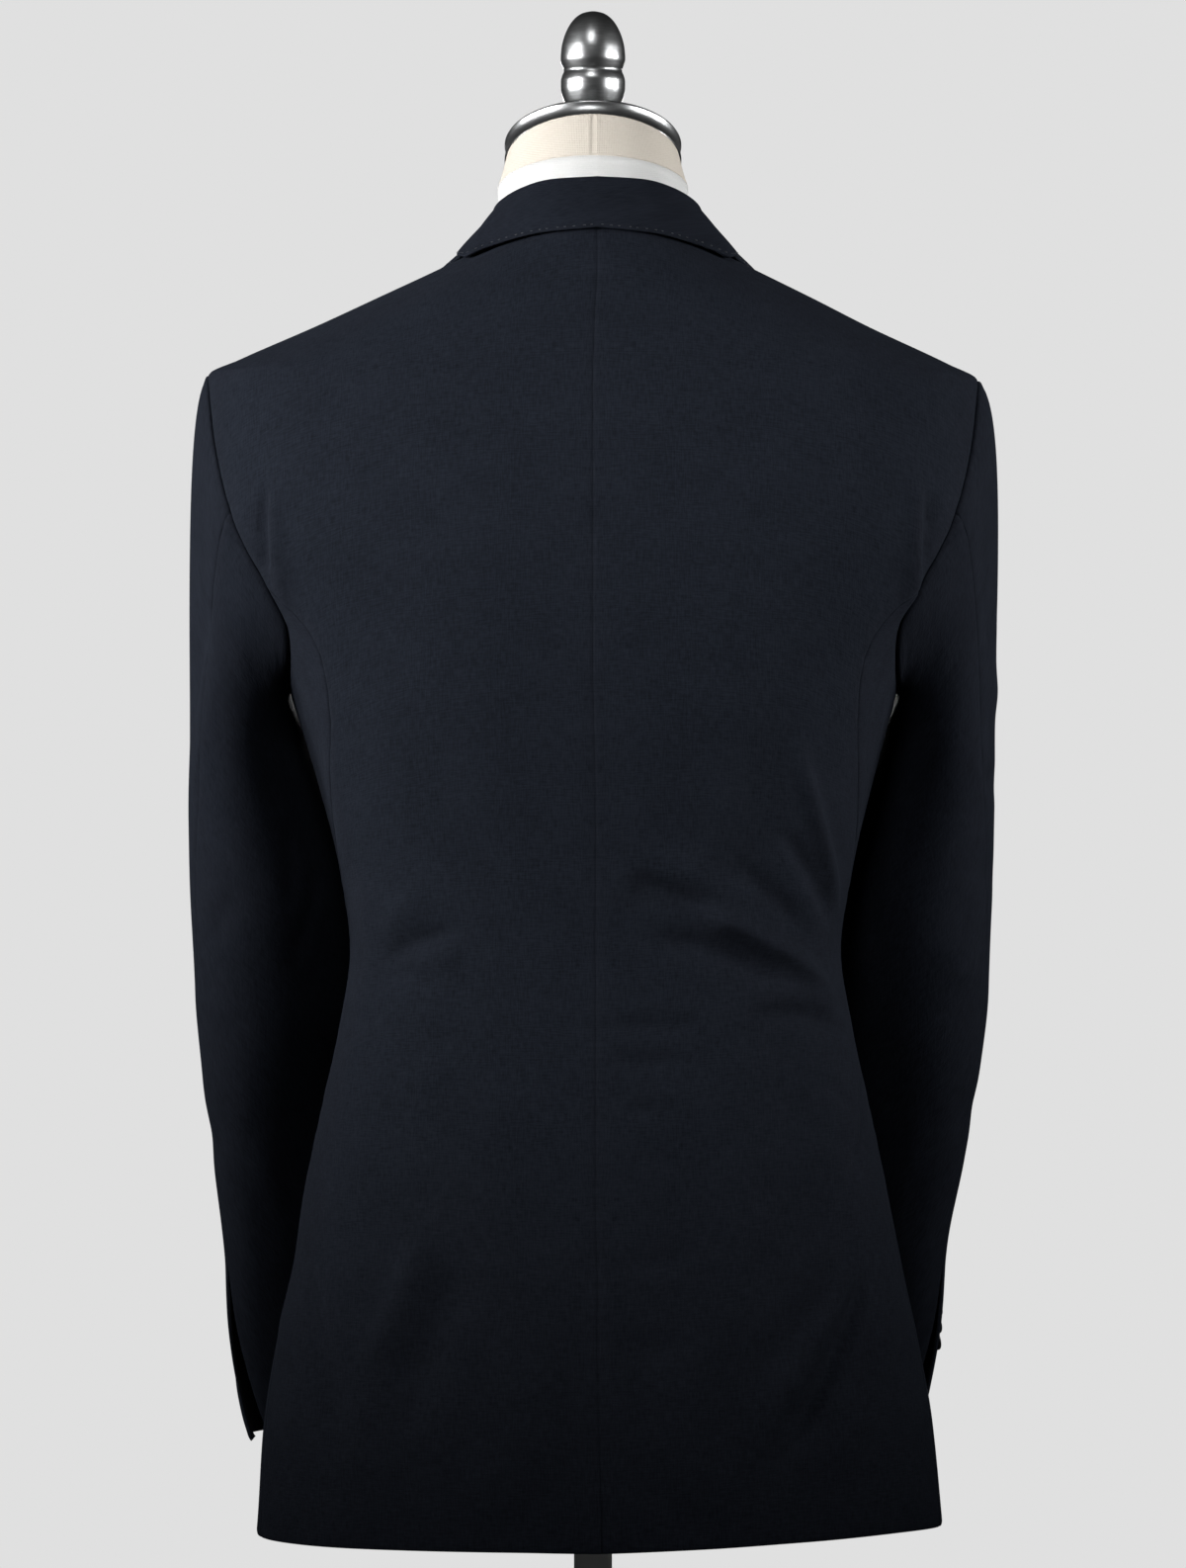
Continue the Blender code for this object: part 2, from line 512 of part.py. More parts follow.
def turned_piece(name, profile, finish, sides=ROUND_SIDES):
    """A body turned round the Z axis from a profile of (radius, height), by a Screw modifier."""
    def build(shape):
        corners = [shape.verts.new((radius, 0.0, height)) for radius, height in profile]
        for upper, lower in zip(corners[:-1], corners[1:]):
            shape.edges.new((upper, lower))

    item = place_mesh(name, build, finish)
    screw = item.modifiers.new("turn", "SCREW")
    screw.axis = "Z"
    screw.steps = sides
    screw.render_steps = sides
    screw.use_merge_vertices = True
    screw.merge_threshold = 0.00001
    screw.use_smooth_shade = True
    return item


def lofted_rings(name, rings, finish):
    """A closed body through a stack of rings of equal count, its two ends capped."""
    def build(shape):
        loops = [[shape.verts.new(point) for point in ring] for ring in rings]
        for lower, upper in zip(loops[:-1], loops[1:]):
            for k in range(len(lower)):
                following = (k + 1) % len(lower)
                shape.faces.new((lower[k], lower[following], upper[following], upper[k]))
        shape.faces.new(list(reversed(loops[0])))
        shape.faces.new(loops[-1])
        bmesh.ops.recalc_face_normals(shape, faces=shape.faces)

    return place_mesh(name, build, finish)


# ======================================================================================================
# Body panels
# ======================================================================================================
def back_panel(side):
    """Back panel: from the centre-back seam to the side seam, the armhole and the shoulder seam."""
    edge_heights, edge_angles = armhole_edge(front=False)
    junction = seam_meets_armhole(BACK_SEAM, front=False)
    rows = panel_rows(0.0, junction)
    angle_rows, height_rows = [], []
    for low in rows:
        if low <= junction:
            outer = float(smooth(BACK_SEAM, 1, low))
        elif low < SHOULDER_HEIGHT:
            outer = float(np.interp(low, edge_heights, edge_angles))
        else:
            outer = 90.0
        rise = NAPE_LIFT * np.clip((low - NAPE_START) / (NECK_POINT_HEIGHT - NAPE_START), 0.0, 1.0) ** 2
        angles, heights = spread_row(side, 0.0, outer, lambda s: low + rise * 0.5 * (1 + np.cos(math.pi * s)),
                                     BACK_COLUMNS)
        angle_rows.append(angles)
        height_rows.append(heights)
    angles, heights = np.array(angle_rows), np.array(height_rows)
    normals = body_normal(side, angles, heights)
    points = body_point(side, angles, heights)
    points = points + normals * fold_depth(BACK_FOLDS, points)[..., None]
    return cloth_sheet(f"back_{SIDE_NAMES[side]}", points, normals)


def side_panel(side):
    """Side body: between the two side seams, hollowed at its top by the armhole."""
    low_share = int(np.argmin([row[1] for row in ARMHOLE])) / len(ARMHOLE)
    back_top = seam_meets_armhole(BACK_SEAM, front=False)
    front_top = seam_meets_armhole(FRONT_SEAM, front=True)
    shares = np.linspace(low_share - 0.25, low_share + 0.25, 400)
    angles, heights = armhole_angle_height(shares)
    from_back, to_front = smooth(BACK_SEAM, 1, heights), smooth(FRONT_SEAM, 1, heights)
    across = (angles - from_back) / (to_front - from_back)
    keep = (across > 0.0) & (across < 1.0) & (heights <= max(back_top, front_top))
    order = np.argsort(across[keep])
    top_across = np.concatenate([[0.0], across[keep][order], [1.0]])
    top_height = np.concatenate([[back_top], heights[keep][order], [front_top]])
    edge = SEAM_EDGE / SIDE_PANEL_WIDTH
    gap = SEAM_HALF_GAP / SIDE_PANEL_WIDTH
    columns = np.concatenate([[gap], np.linspace(edge + gap, 1 - edge - gap, SIDE_COLUMNS - 1), [1 - gap]])
    ceiling = np.interp(columns, top_across, top_height) - UNDERARM_EASE * 4.0 * columns * (1.0 - columns)
    floor = -FRONT_HEM_DROP * columns**2
    rise = np.array(PANEL_SHARES)[:, None]
    heights = floor + (ceiling - floor) * rise
    angles = smooth(BACK_SEAM, 1, heights) * (1 - columns) + smooth(FRONT_SEAM, 1, heights) * columns
    points = body_point(side, angles, heights)
    return cloth_sheet(f"side_{SIDE_NAMES[side]}", points, body_normal(side, angles, heights))


def front_edge_x(side, height):
    """x of a front's inner edge at a height over the hem: overlap, cutaway, rounded quarter, roll line."""
    height = np.asarray(height, float)
    swing = np.clip((CUTAWAY_START - height) / CUTAWAY_START, 0.0, None) ** 2 * CUTAWAY_SWING
    corner = np.clip((QUARTER_HEIGHT - FRONT_HEM_DROP - height) / QUARTER_HEIGHT, 0.0, 1.0)
    quarter = QUARTER_WIDTH * (1.0 - np.sqrt(1.0 - corner**2))
    turn = np.clip((height - BREAK_HEIGHT) / (ROLL_TOP_HEIGHT - BREAK_HEIGHT), 0.0, None)
    roll = turn * (ROLL_TOP_X + OVERLAP)
    return side * (-OVERLAP + swing + quarter + roll)


def underlap(side, points):
    """How far the right front is let in behind the left one, faded out away from the centre."""
    if side == LEFT:
        return np.zeros(points.shape[:-1])
    near = np.clip((points[..., 0] + UNDERLAP_REACH) / (UNDERLAP_REACH - OVERLAP), 0.0, 1.0)
    below = np.clip((UNDERLAP_TOP + HEM_Z - points[..., 2]) / (UNDERLAP_TOP - UNDERLAP_FULL), 0.0, 1.0)
    return UNDERLAP_DEPTH * near**2 * (3 - 2 * near) * below**2 * (3 - 2 * below)


def front_point(side, angle, height, lift=0.0):
    """Point of a front, `lift` metres outside its outer face."""
    base = body_point(side, angle, height)
    normal = body_normal(side, angle, height)
    push = np.asarray(lift) - underlap(side, base)
    return base + normal * push[..., None], normal


def front_sink(low):
    """How much lower a front's row meets its inner edge than its outer edge."""
    rise = np.clip((low - SINK_START) / (NECK_POINT_HEIGHT - SINK_START), 0.0, 1.0)
    return (NECK_POINT_HEIGHT - ROLL_TOP_HEIGHT) * rise**2


def front_panel(side):
    """Front: from the side seam, armhole and shoulder seam to the front edge and the roll line."""
    edge_heights, edge_angles = armhole_edge(front=True)
    junction = seam_meets_armhole(FRONT_SEAM, front=True)
    rows = panel_rows(-FRONT_HEM_DROP, junction)
    angle_rows, height_rows = [], []
    for low in rows:
        if low <= junction:
            outer = float(smooth(FRONT_SEAM, 1, low))
        elif low < SHOULDER_HEIGHT:
            outer = float(np.interp(low, edge_heights, edge_angles))
        else:
            outer = 90.0
        sink = float(front_sink(low))
        inner_height = low - sink
        inner = float(angle_at_x(side, front_edge_x(side, inner_height), inner_height, front=True))
        angles, heights = spread_row(side, outer, inner, lambda s: low - sink * s**2, FRONT_COLUMNS)
        angle_rows.append(angles)
        height_rows.append(heights)
    angles, heights = np.array(angle_rows), np.array(height_rows)
    points, normals = front_point(side, angles, heights)
    return cloth_sheet(f"front_{SIDE_NAMES[side]}", points, normals)


# ======================================================================================================
# Lapels, collar and pockets
# ======================================================================================================
def beyond_centre(side, x, height):
    """Angle round the body at x, also past the centre line, where the angle goes over 180 degrees."""
    centre = smooth(BODY_SECTIONS, 2, height)
    reach = side * (x - centre)
    angle = angle_at_x(side, centre + side * np.abs(reach), height, front=True)
    return np.where(reach >= 0.0, angle, 360.0 - angle)


def turned_row(side, roll, edge, flat_shares, wall, arc_points):
    """A row of a turned-over layer: half round the roll line, then flat to the edge, over the front.

    `roll` and `edge` are arrays of (distance from the centre line, height over the hem).
    """
    reach = np.linalg.norm(edge - roll, axis=-1, keepdims=True)
    direction = (edge - roll) / reach
    radius = (WALL + LAYER_GAP + wall) / 2.0
    shares = np.array(flat_shares)
    turns = np.radians(np.linspace(-90.0, 90.0, arc_points))
    arc_run = np.broadcast_to(-ROLL_GAP - radius * np.cos(turns), (len(roll), arc_points))
    run = np.concatenate([arc_run, reach * shares], axis=1)
    arc_lift = np.broadcast_to(LAYER_GAP + wall - radius + radius * np.sin(turns), arc_run.shape)
    bow = 4.0 * shares * (1.0 - shares) * LAPEL_STAND * np.clip(reach / LAPEL_FULL_WIDTH, 0.0, 1.0)
    lift = np.concatenate([arc_lift, LAYER_GAP + wall + bow], axis=1)
    place = roll[:, None, :] + direction[:, None, :] * run[..., None]
    x, height = side * place[..., 0], place[..., 1]
    return front_point(side, beyond_centre(side, x, height), height, lift)


def lapel(side):
    """Lapel: rows from the roll line to its long edge, turned over at the roll line, laid on the front."""
    rows = panel_rows(-FRONT_HEM_DROP, seam_meets_armhole(FRONT_SEAM, front=True))
    rows = rows - front_sink(rows)
    inside = rows[(rows > BREAK_HEIGHT + 2 * SEAM_EDGE) & (rows < ROLL_TOP_HEIGHT - 2 * GORGE_GAP)]
    heights = np.concatenate([[BREAK_HEIGHT], inside, [ROLL_TOP_HEIGHT - GORGE_GAP]])
    shares = (heights - BREAK_HEIGHT) / (ROLL_TOP_HEIGHT - BREAK_HEIGHT)
    roll = np.stack([side * front_edge_x(side, heights), heights], axis=-1)
    start = roll[0] + np.array(LAPEL_FOOT)
    edge = start + (np.array(LAPEL_TIP) - start) * shares[:, None]
    edge[:, 0] += LAPEL_BELLY * np.sin(math.pi * shares)
    points, normals = turned_row(side, roll, edge, LAPEL_SHARES, LAPEL_WALL, LAPEL_ARC_POINTS)
    return cloth_sheet(f"lapel_{SIDE_NAMES[side]}", points, normals, wall=LAPEL_WALL)


def neckline(side, station):
    """Outer face of the panels' neckline at a collar station: back to the shoulder seam, then the front."""
    back = np.clip(station / COLLAR_SHOULDER, 0.0, 1.0)
    fore = np.clip((station - COLLAR_SHOULDER) / (COLLAR_END - COLLAR_SHOULDER), 0.0, 1.0)
    end = float(angle_at_x(side, front_edge_x(side, ROLL_TOP_HEIGHT), ROLL_TOP_HEIGHT, front=True))
    angle = 90.0 * back + (end - 90.0) * fore
    height = NECK_POINT_HEIGHT + NAPE_LIFT * 0.5 * (1 + np.cos(math.pi * back))
    height = height - (NECK_POINT_HEIGHT - ROLL_TOP_HEIGHT) * fore**2
    return body_point(side, angle, height), body_normal(side, angle, height)


def collar_half(side):
    """Half of the collar as a grid: rows by station, columns from the foot over the fold to the edge."""
    stations = np.linspace(0.0, COLLAR_END, int(COLLAR_END) * COLLAR_ROWS_PER_STATION + 1)
    seam, seam_normal = neckline(side, stations)
    up = np.array([0.0, 0.0, 1.0])
    level = unit(seam_normal * np.array([1.0, 1.0, 0.0]))
    foot = seam - level * (WALL + COLLAR_FOOT_GAP) + up * COLLAR_FOOT_GAP
    half, y, height = (smooth(COLLAR_STATIONS, column, stations) for column in (1, 2, 3))
    fold = np.stack([COLLAR_CENTRE_X + side * half, y, HEM_Z + height], axis=-1)
    edge_angle, edge_height = smooth(COLLAR_STATIONS, 4, stations), smooth(COLLAR_STATIONS, 5, stations)
    edge = body_point(side, edge_angle, edge_height)
    edge = edge + body_normal(side, edge_angle, edge_height) * (FALL_EDGE_GAP + WALL)
    outward = unit(edge - fold - up * ((edge - fold) @ up)[:, None])
    arc = [fold + (outward * aside + up * above) * COLLAR_FOLD_RADIUS for aside, above in COLLAR_ARC]
    chord = edge - arc[-1]
    swell = unit(np.cross(np.cross(chord, up), chord))
    columns = [foot, foot + (arc[0] - foot) * STAND_SHARE, *arc]
    beyond = np.clip((stations - COLLAR_SHOULDER) / FALL_FRONT_REACH, 0.0, 1.0)
    bow = FALL_SWELL + FALL_FRONT_SWELL * beyond[:, None]
    for share in FALL_SHARES:
        columns.append(arc[-1] + chord * share + swell * (bow * 4 * share * (1 - share)))
    grid = np.stack(columns, axis=1)
    gorge_top = np.array([[ROLL_TOP_X, ROLL_TOP_HEIGHT + GORGE_GAP]])
    notch = gorge_top + NOTCH_SHARE * (np.array(LAPEL_TIP) - (ROLL_TOP_X, ROLL_TOP_HEIGHT))
    end_row, _ = turned_row(side, gorge_top, notch, FALL_SHARES, WALL, len(columns) - len(FALL_SHARES))
    settle = np.clip(stations - (COLLAR_END - 1.0), 0.0, 1.0)[:, None, None]
    return grid * (1 - settle) + end_row * settle


def collar():
    """Collar: stand and fall in one wall, from one gorge round the neck to the other."""
    left, right = collar_half(LEFT), collar_half(RIGHT)
    points = np.concatenate([left[::-1], right[1:]], axis=0)
    points[len(left) - 1, :, 0] = COLLAR_CENTRE_X
    outward = np.zeros(points.shape)
    middle = (points.shape[0] // 2, points.shape[1] // 2)
    outward[middle] = (0.0, 0.0, 1.0)
    return cloth_sheet("collar", points, outward)


def laid_patch(name, side, corners, drop, rows=3, columns=6):
    """A patch on a front: its upper edge from corner to corner as (angle, height), hanging down by `drop`."""
    (start_angle, start_height), (end_angle, end_height) = corners
    across = np.linspace(0.0, 1.0, columns)[None, :]
    down = np.linspace(0.0, 1.0, rows)[:, None]
    angle = start_angle + (end_angle - start_angle) * across + 0.0 * down
    height = start_height + (end_height - start_height) * across - drop * down
    points, normals = front_point(side, angle, height, np.full(angle.shape, LAYER_GAP + POCKET_WALL))
    return cloth_sheet(name, points, normals, wall=POCKET_WALL)


def pockets():
    """Two hip pocket flaps and the welt of the breast pocket."""
    for side in (LEFT, RIGHT):
        inner = float(angle_at_x(side, side * FLAP_INNER_X, FLAP_HEIGHT, front=True))
        laid_patch(f"pocket_flap_{SIDE_NAMES[side]}", side,
                   ((inner, FLAP_HEIGHT), (FLAP_OUTER_ANGLE, FLAP_HEIGHT - FLAP_SLOPE)), FLAP_DROP,
                   rows=4, columns=8)
    inner = float(angle_at_x(LEFT, WELT_INNER_X, WELT_HEIGHT, front=True))
    outer = float(angle_at_x(LEFT, WELT_OUTER_X, WELT_HEIGHT + WELT_RISE, front=True))
    laid_patch("breast_welt", LEFT, ((inner, WELT_HEIGHT), (outer, WELT_HEIGHT + WELT_RISE)), WELT_DROP)


# ======================================================================================================
# Sleeves
# ======================================================================================================
def sleeve_ring(side, turn, height):
    """Point of a hanging sleeve: `turn` in degrees from its outer side backwards, at a height."""
    turn, height = np.broadcast_arrays(np.asarray(turn, float), np.asarray(height, float))
    lead = 1.0 if side == RIGHT else 0.0
    centre_x = smooth_down(1, height) - lead * smooth_down(6, height)
    centre_y = smooth_down(2, height) - lead * smooth_down(7, height)
    angle, yaw = np.radians(turn), np.radians(smooth_down(5, height))
    across = smooth_down(3, height) * signed_power(np.cos(angle), 2.0 / SLEEVE_POWER)
    deep = smooth_down(4, height) * signed_power(np.sin(angle), 2.0 / SLEEVE_POWER)
    x = centre_x + across * np.cos(yaw) + deep * np.sin(yaw)
    y = centre_y - across * np.sin(yaw) + deep * np.cos(yaw)
    return np.stack([side * x, y, HEM_Z + height], axis=-1)


def smooth_down(column, height):
    """Read a column of the sleeve's rings, whose heights fall from row to row."""
    return smooth(SLEEVE_RINGS[::-1], column, height)


def sleeve_point(side, turn, share):
    """Point of a sleeve: `turn` round it, `share` 0 at the armhole to 1 at the cuff.

    The head is a cubic from the armhole, which it leaves outwards, to the first hanging ring.
    """
    turn, share = np.broadcast_arrays(np.asarray(turn, float), np.asarray(share, float))
    top_height, cuff_height = SLEEVE_RINGS[0][0], SLEEVE_RINGS[-1][0]
    angle, height = armhole_angle_height(turn / 360.0)
    start = body_point(side, angle, height)
    upper = (1.0 + np.cos(np.radians(turn))) / 2.0
    aside = np.abs(np.sin(np.radians(turn)))
    reach = UNDERARM_REACH + (CAP_REACH[side] - UNDERARM_REACH) * upper
    fall_all, fall_upper, fall_aside = HEAD_FALL
    leave = np.stack([side * reach, HEAD_SPREAD * np.sin(np.radians(turn)),
                      -fall_all - fall_upper * upper - fall_aside * aside], axis=-1)
    start = start + unit(leave) * ARMHOLE_GAP
    ring = sleeve_ring(side, turn, top_height)
    fall = (start - ring)[..., 2]
    arrive = np.stack([0.0 * fall, 0.0 * fall, -HEAD_STRAIGHT * fall], axis=-1)
    t = np.clip(share / CAP_SHARE, 0.0, 1.0)[..., None]
    head = (start * (2 * t**3 - 3 * t**2 + 1) + leave * (t**3 - 2 * t**2 + t)
            + ring * (3 * t**2 - 2 * t**3) + arrive * (t**3 - t**2))
    down = np.clip((share - CAP_SHARE) / (1.0 - CAP_SHARE), 0.0, 1.0)
    hanging = sleeve_ring(side, turn, top_height + (cuff_height - top_height) * down)
    return np.where(share[..., None] < CAP_SHARE, head, hanging)


def sleeve_panel(side, start_seam, end_seam, turn_back, columns, vent_ease=0.0):
    """One half of a two-piece sleeve, between two seams given as (share, turn) tables."""
    head = np.array(HEAD_SHARES) * CAP_SHARE
    shares = np.concatenate([head, np.linspace(CAP_SHARE, 1.0, SLEEVE_ROWS)])
    rows = []
    for share in shares:
        start = float(smooth(start_seam, 1, share)) - turn_back + vent_ease * opened_share(share)
        end = float(smooth(end_seam, 1, share))
        turns = start + (end - start) * spread_along(
            lambda s: sleeve_point(side, start + (end - start) * s, share), columns)
        points = sleeve_point(side, turns, share)
        if turn_back > 0.0:
            points[:, 0] += side * vent_flare(side, turns, share)
            points[:, 2] -= VENT_TIP_DROP * vent_corner(turns, share)
        else:
            points[:, 2] += VENT_UNDER_LIFT * vent_corner(turns, share)
        rows.append(points)
    grid = np.array(rows)
    return grid, unit(grid - grid.mean(axis=1, keepdims=True))


def opened_share(share):
    """How far the cuff vent stands open at a share of the sleeve: 0 above it, 1 at the cuff."""
    hanging = SLEEVE_RINGS[0][0] - SLEEVE_RINGS[-1][0]
    start = 1.0 - (VENT_HEIGHT - SLEEVE_RINGS[-1][0]) / hanging * (1.0 - CAP_SHARE)
    return np.clip((share - start) / (1.0 - start), 0.0, 1.0)


def vent_flare(side, turn, share):
    """How far the top sleeve's flap stands off sideways: more down the vent and towards its edge."""
    near = np.clip(1.0 - (smooth(ELBOW_SEAM, 1, share) - turn) / VENT_FLARE_DEGREES, 0.0, 1.0)
    return VENT_FLARE[side] * (1.0 - (1.0 - opened_share(share)) ** VENT_ONSET) * near**2


def vent_corner(turn, share):
    """How near a place is to the vent's lower corners: 0 away from them to 1 there."""
    near = np.clip(1.0 - np.abs(smooth(ELBOW_SEAM, 1, share) - turn) / VENT_CORNER, 0.0, 1.0)
    return near**2 * opened_share(share) ** VENT_ONSET


def sleeve(side):
    """Both halves of a sleeve; the vent's two edges stand apart by the flare at the cuff."""
    top, outward = sleeve_panel(side, INNER_SEAM, ELBOW_SEAM, 360.0, SLEEVE_TOP_COLUMNS)
    cloth_sheet(f"sleeve_top_{SIDE_NAMES[side]}", top, outward)
    under, outward = sleeve_panel(side, ELBOW_SEAM, INNER_SEAM, 0.0, SLEEVE_UNDER_COLUMNS, VENT_EASE)
    cloth_sheet(f"sleeve_under_{SIDE_NAMES[side]}", under, outward, WOOL_UNDER)


# ======================================================================================================
# Buttons
# ======================================================================================================
def button(name, place, normal, radius, thickness):
    """A turned button with rounded edges and a dished face, its back at `place`."""
    profile = ((0.0, thickness * 0.78), (radius * 0.62, thickness * 0.78), (radius * 0.76, thickness),
               (radius * 0.90, thickness), (radius, thickness * 0.62), (radius * 0.92, 0.0), (0.0, 0.0))
    item = turned_piece(name, profile, HORN, BUTTON_SIDES)
    item.location = place
    item.rotation_mode = "QUATERNION"
    item.rotation_quaternion = Vector(normal).to_track_quat("Z", "Y")
    return item


def buttons():
    """Two closing buttons on the left front and four lapped buttons at each cuff."""
    for number, height in enumerate(FRONT_BUTTON_HEIGHTS, start=1):
        points, normals = front_point(LEFT, beyond_centre(LEFT, np.array([0.0]), height), np.array([height]),
                                      np.array([LAYER_GAP]))
        button(f"front_button_{number}", points[0], normals[0], FRONT_BUTTON_RADIUS, FRONT_BUTTON_THICKNESS)
    for side in (LEFT, RIGHT):
        for number in range(CUFF_BUTTON_COUNT):
            height = CUFF_BUTTON_FIRST - number * CUFF_BUTTON_PITCH
            place, normal = cuff_button_place(side, height)
            button(f"cuff_button_{SIDE_NAMES[side]}_{number + 1}", place, normal,
                   CUFF_BUTTON_RADIUS, CUFF_BUTTON_THICKNESS)


def cuff_button_place(side, height):
    """Place and facing of a cuff button: beside the elbow seam, tipped so that each laps the next."""
    hanging = SLEEVE_RINGS[0][0] - SLEEVE_RINGS[-1][0]
    share = CAP_SHARE + (1 - CAP_SHARE) * (SLEEVE_RINGS[0][0] - height) / hanging
    turn = float(smooth(ELBOW_SEAM, 1, share)) - CUFF_BUTTON_TURN[side]
    here = sleeve_point(side, turn, share)
    here[0] += side * vent_flare(side, turn, share)
    along = unit(sleeve_point(side, turn, share + 0.01) - sleeve_point(side, turn, share - 0.01))
    around = unit(sleeve_point(side, turn + 1.0, share) - sleeve_point(side, turn - 1.0, share))
    normal = unit(np.cross(along, around)) * side
    if normal[0] * side < 0.0:
        normal = -normal
    tip = math.radians(CUFF_BUTTON_TILT)
    facing = unit(normal * math.cos(tip) - along * math.sin(tip))
    stand = CUFF_BUTTON_RADIUS * math.sin(tip) + CUFF_BUTTON_GAP
    return here + normal * stand, facing


# ======================================================================================================
# The dress form
# ======================================================================================================
def tilted_ring(height, half_x, centre_y, half_y, tilt, power, sides=TORSO_SIDES):
    """A ring of points, superelliptic in plan, its plane tipped so that the back is higher."""
    turn = np.linspace(0.0, 2 * math.pi, sides, endpoint=False)
    x = half_x * signed_power(np.sin(turn), 2.0 / power)
    y = half_y * signed_power(np.cos(turn), 2.0 / power)
    return np.stack([x, centre_y + y, height + y * math.tan(math.radians(tilt))], axis=-1)


def cap_ring(foot, radius, rise):
    """A ring of the neck cap, `rise` above its underside along the cap's own tilted axis."""
    tilt = math.radians(CAP_TILT)
    return tilted_ring(foot + rise / math.cos(tilt), radius, -rise * math.sin(tilt), radius * math.cos(tilt),
                       CAP_TILT, NECK_POWER)


def dress_form():
    """Torso, neck, metal cap with its finial, and the stand: a post on a round base."""
    rings = []
    for height, half_x, centre_y, half_y, tilt in TORSO_RINGS:
        neck = min(max((height - NECK_START_Z) / NECK_BLEND, 0.0), 1.0)
        rings.append(tilted_ring(height, half_x, centre_y, half_y, tilt,
                                 TORSO_POWER + (NECK_POWER - TORSO_POWER) * neck))
    lofted_rings("form_torso", rings, JERSEY)
    top = TORSO_RINGS[-1]
    lofted_rings("form_neck", [
        tilted_ring(top[0] + FORM_GAP, top[1], top[2], top[3], top[4], NECK_POWER),
        tilted_ring((top[0] + NECK_TOP_Z) / 2, NECK_WAIST_RADIUS, 0.0, NECK_WAIST_RADIUS,
                    (top[4] + CAP_TILT) / 2, NECK_POWER),
        tilted_ring(NECK_TOP_Z, NECK_TOP_RADIUS, 0.0, NECK_TOP_RADIUS, CAP_TILT, NECK_POWER),
    ], LINEN)
    foot = NECK_TOP_Z + FORM_GAP / math.cos(math.radians(CAP_TILT))
    inner = CAP_RADIUS - CAP_EDGE
    rings = [cap_ring(foot, inner, 0.0), cap_ring(foot, CAP_RADIUS, CAP_EDGE),
             cap_ring(foot, CAP_RADIUS, CAP_THICKNESS - CAP_EDGE), cap_ring(foot, inner, CAP_THICKNESS),
             cap_ring(foot, FINIAL_PROFILE[0][0], CAP_THICKNESS)]
    for radius, height in FINIAL_PROFILE:
        rings.append(tilted_ring(FINIAL_FOOT_Z + height, radius, 0.0, radius, 0.0, NECK_POWER))
    lofted_rings("form_cap_and_finial", rings, BRUSHED)
    post_top = TORSO_RINGS[0][0] - FORM_GAP
    turned_piece("form_stand", (
        (0.0, post_top), (POST_RADIUS, post_top), (POST_RADIUS, BASE_THICKNESS + 2 * BASE_EDGE),
        (POST_RADIUS + 2 * BASE_EDGE, BASE_THICKNESS), (BASE_RADIUS - 2.5 * BASE_EDGE, BASE_THICKNESS),
        (BASE_RADIUS - BASE_EDGE, BASE_THICKNESS - 0.2 * BASE_EDGE), (BASE_RADIUS, BASE_THICKNESS - BASE_EDGE),
        (BASE_RADIUS, BASE_EDGE * 0.3), (BASE_RADIUS - BASE_EDGE * 0.3, 0.0), (0.0, 0.0)), ENAMEL, BASE_SIDES)


def main():
    """Build the blazer and its form."""
    for item in list(bpy.data.objects):
        bpy.data.objects.remove(item, do_unlink=True)
    collection = bpy.data.collections.new("blazer_on_dress_form")
    bpy.context.scene.collection.children.link(collection)
    for side in (LEFT, RIGHT):
        back_panel(side)
        side_panel(side)
        front_panel(side)
        lapel(side)
        sleeve(side)
    collar()
    pockets()
    buttons()
    dress_form()


main()
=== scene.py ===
"""The looks of a tailored blazer worn on a limbless dress form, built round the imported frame.

Metres, +Z up.  The garment faces -Y, its back faces +Y, and the wearer's left is +X.  Heights in the
tables are counted from the jacket's back hem.  Every cloth piece is a fine grid on the same worked-out
form as its solid, with its creases, rolled seams and edges, given its wall by Solidify.
"""
import logging
import math
from dataclasses import dataclass
from enum import Enum
from typing import Callable, Optional, Sequence

import bpy
import numpy as np
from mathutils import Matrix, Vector


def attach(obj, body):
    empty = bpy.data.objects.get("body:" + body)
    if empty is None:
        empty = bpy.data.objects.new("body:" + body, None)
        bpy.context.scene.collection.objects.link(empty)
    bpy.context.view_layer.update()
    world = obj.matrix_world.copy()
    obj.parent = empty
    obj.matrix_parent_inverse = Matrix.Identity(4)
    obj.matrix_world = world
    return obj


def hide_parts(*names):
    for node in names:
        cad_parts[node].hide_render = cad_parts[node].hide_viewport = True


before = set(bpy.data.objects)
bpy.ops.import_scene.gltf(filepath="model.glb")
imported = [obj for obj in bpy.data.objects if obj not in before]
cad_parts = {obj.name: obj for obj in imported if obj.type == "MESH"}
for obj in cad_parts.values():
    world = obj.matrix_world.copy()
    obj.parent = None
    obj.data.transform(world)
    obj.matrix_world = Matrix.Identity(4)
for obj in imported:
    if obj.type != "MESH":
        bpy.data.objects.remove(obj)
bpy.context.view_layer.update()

log = logging.getLogger("blazer")

Array = np.ndarray
Table = Sequence[Sequence[float]]
Colour = tuple[float, float, float]
Item = bpy.types.Object
Material = bpy.types.Material
Socket = bpy.types.NodeSocket

# ==== Sizes that the garment shares with its solids ====
HEM_Z = 0.14  # height of the back hem over the floor
WALL = 0.002  # wool, canvas and lining together
LAPEL_WALL = 0.0022
FLAP_WALL = 0.0016
SEAM_HALF_GAP = -0.00012  # each piece passes its seam line by this much, so that no light shows through
LAYER_GAP = 0.0013  # air between two cloth layers that lie on each other

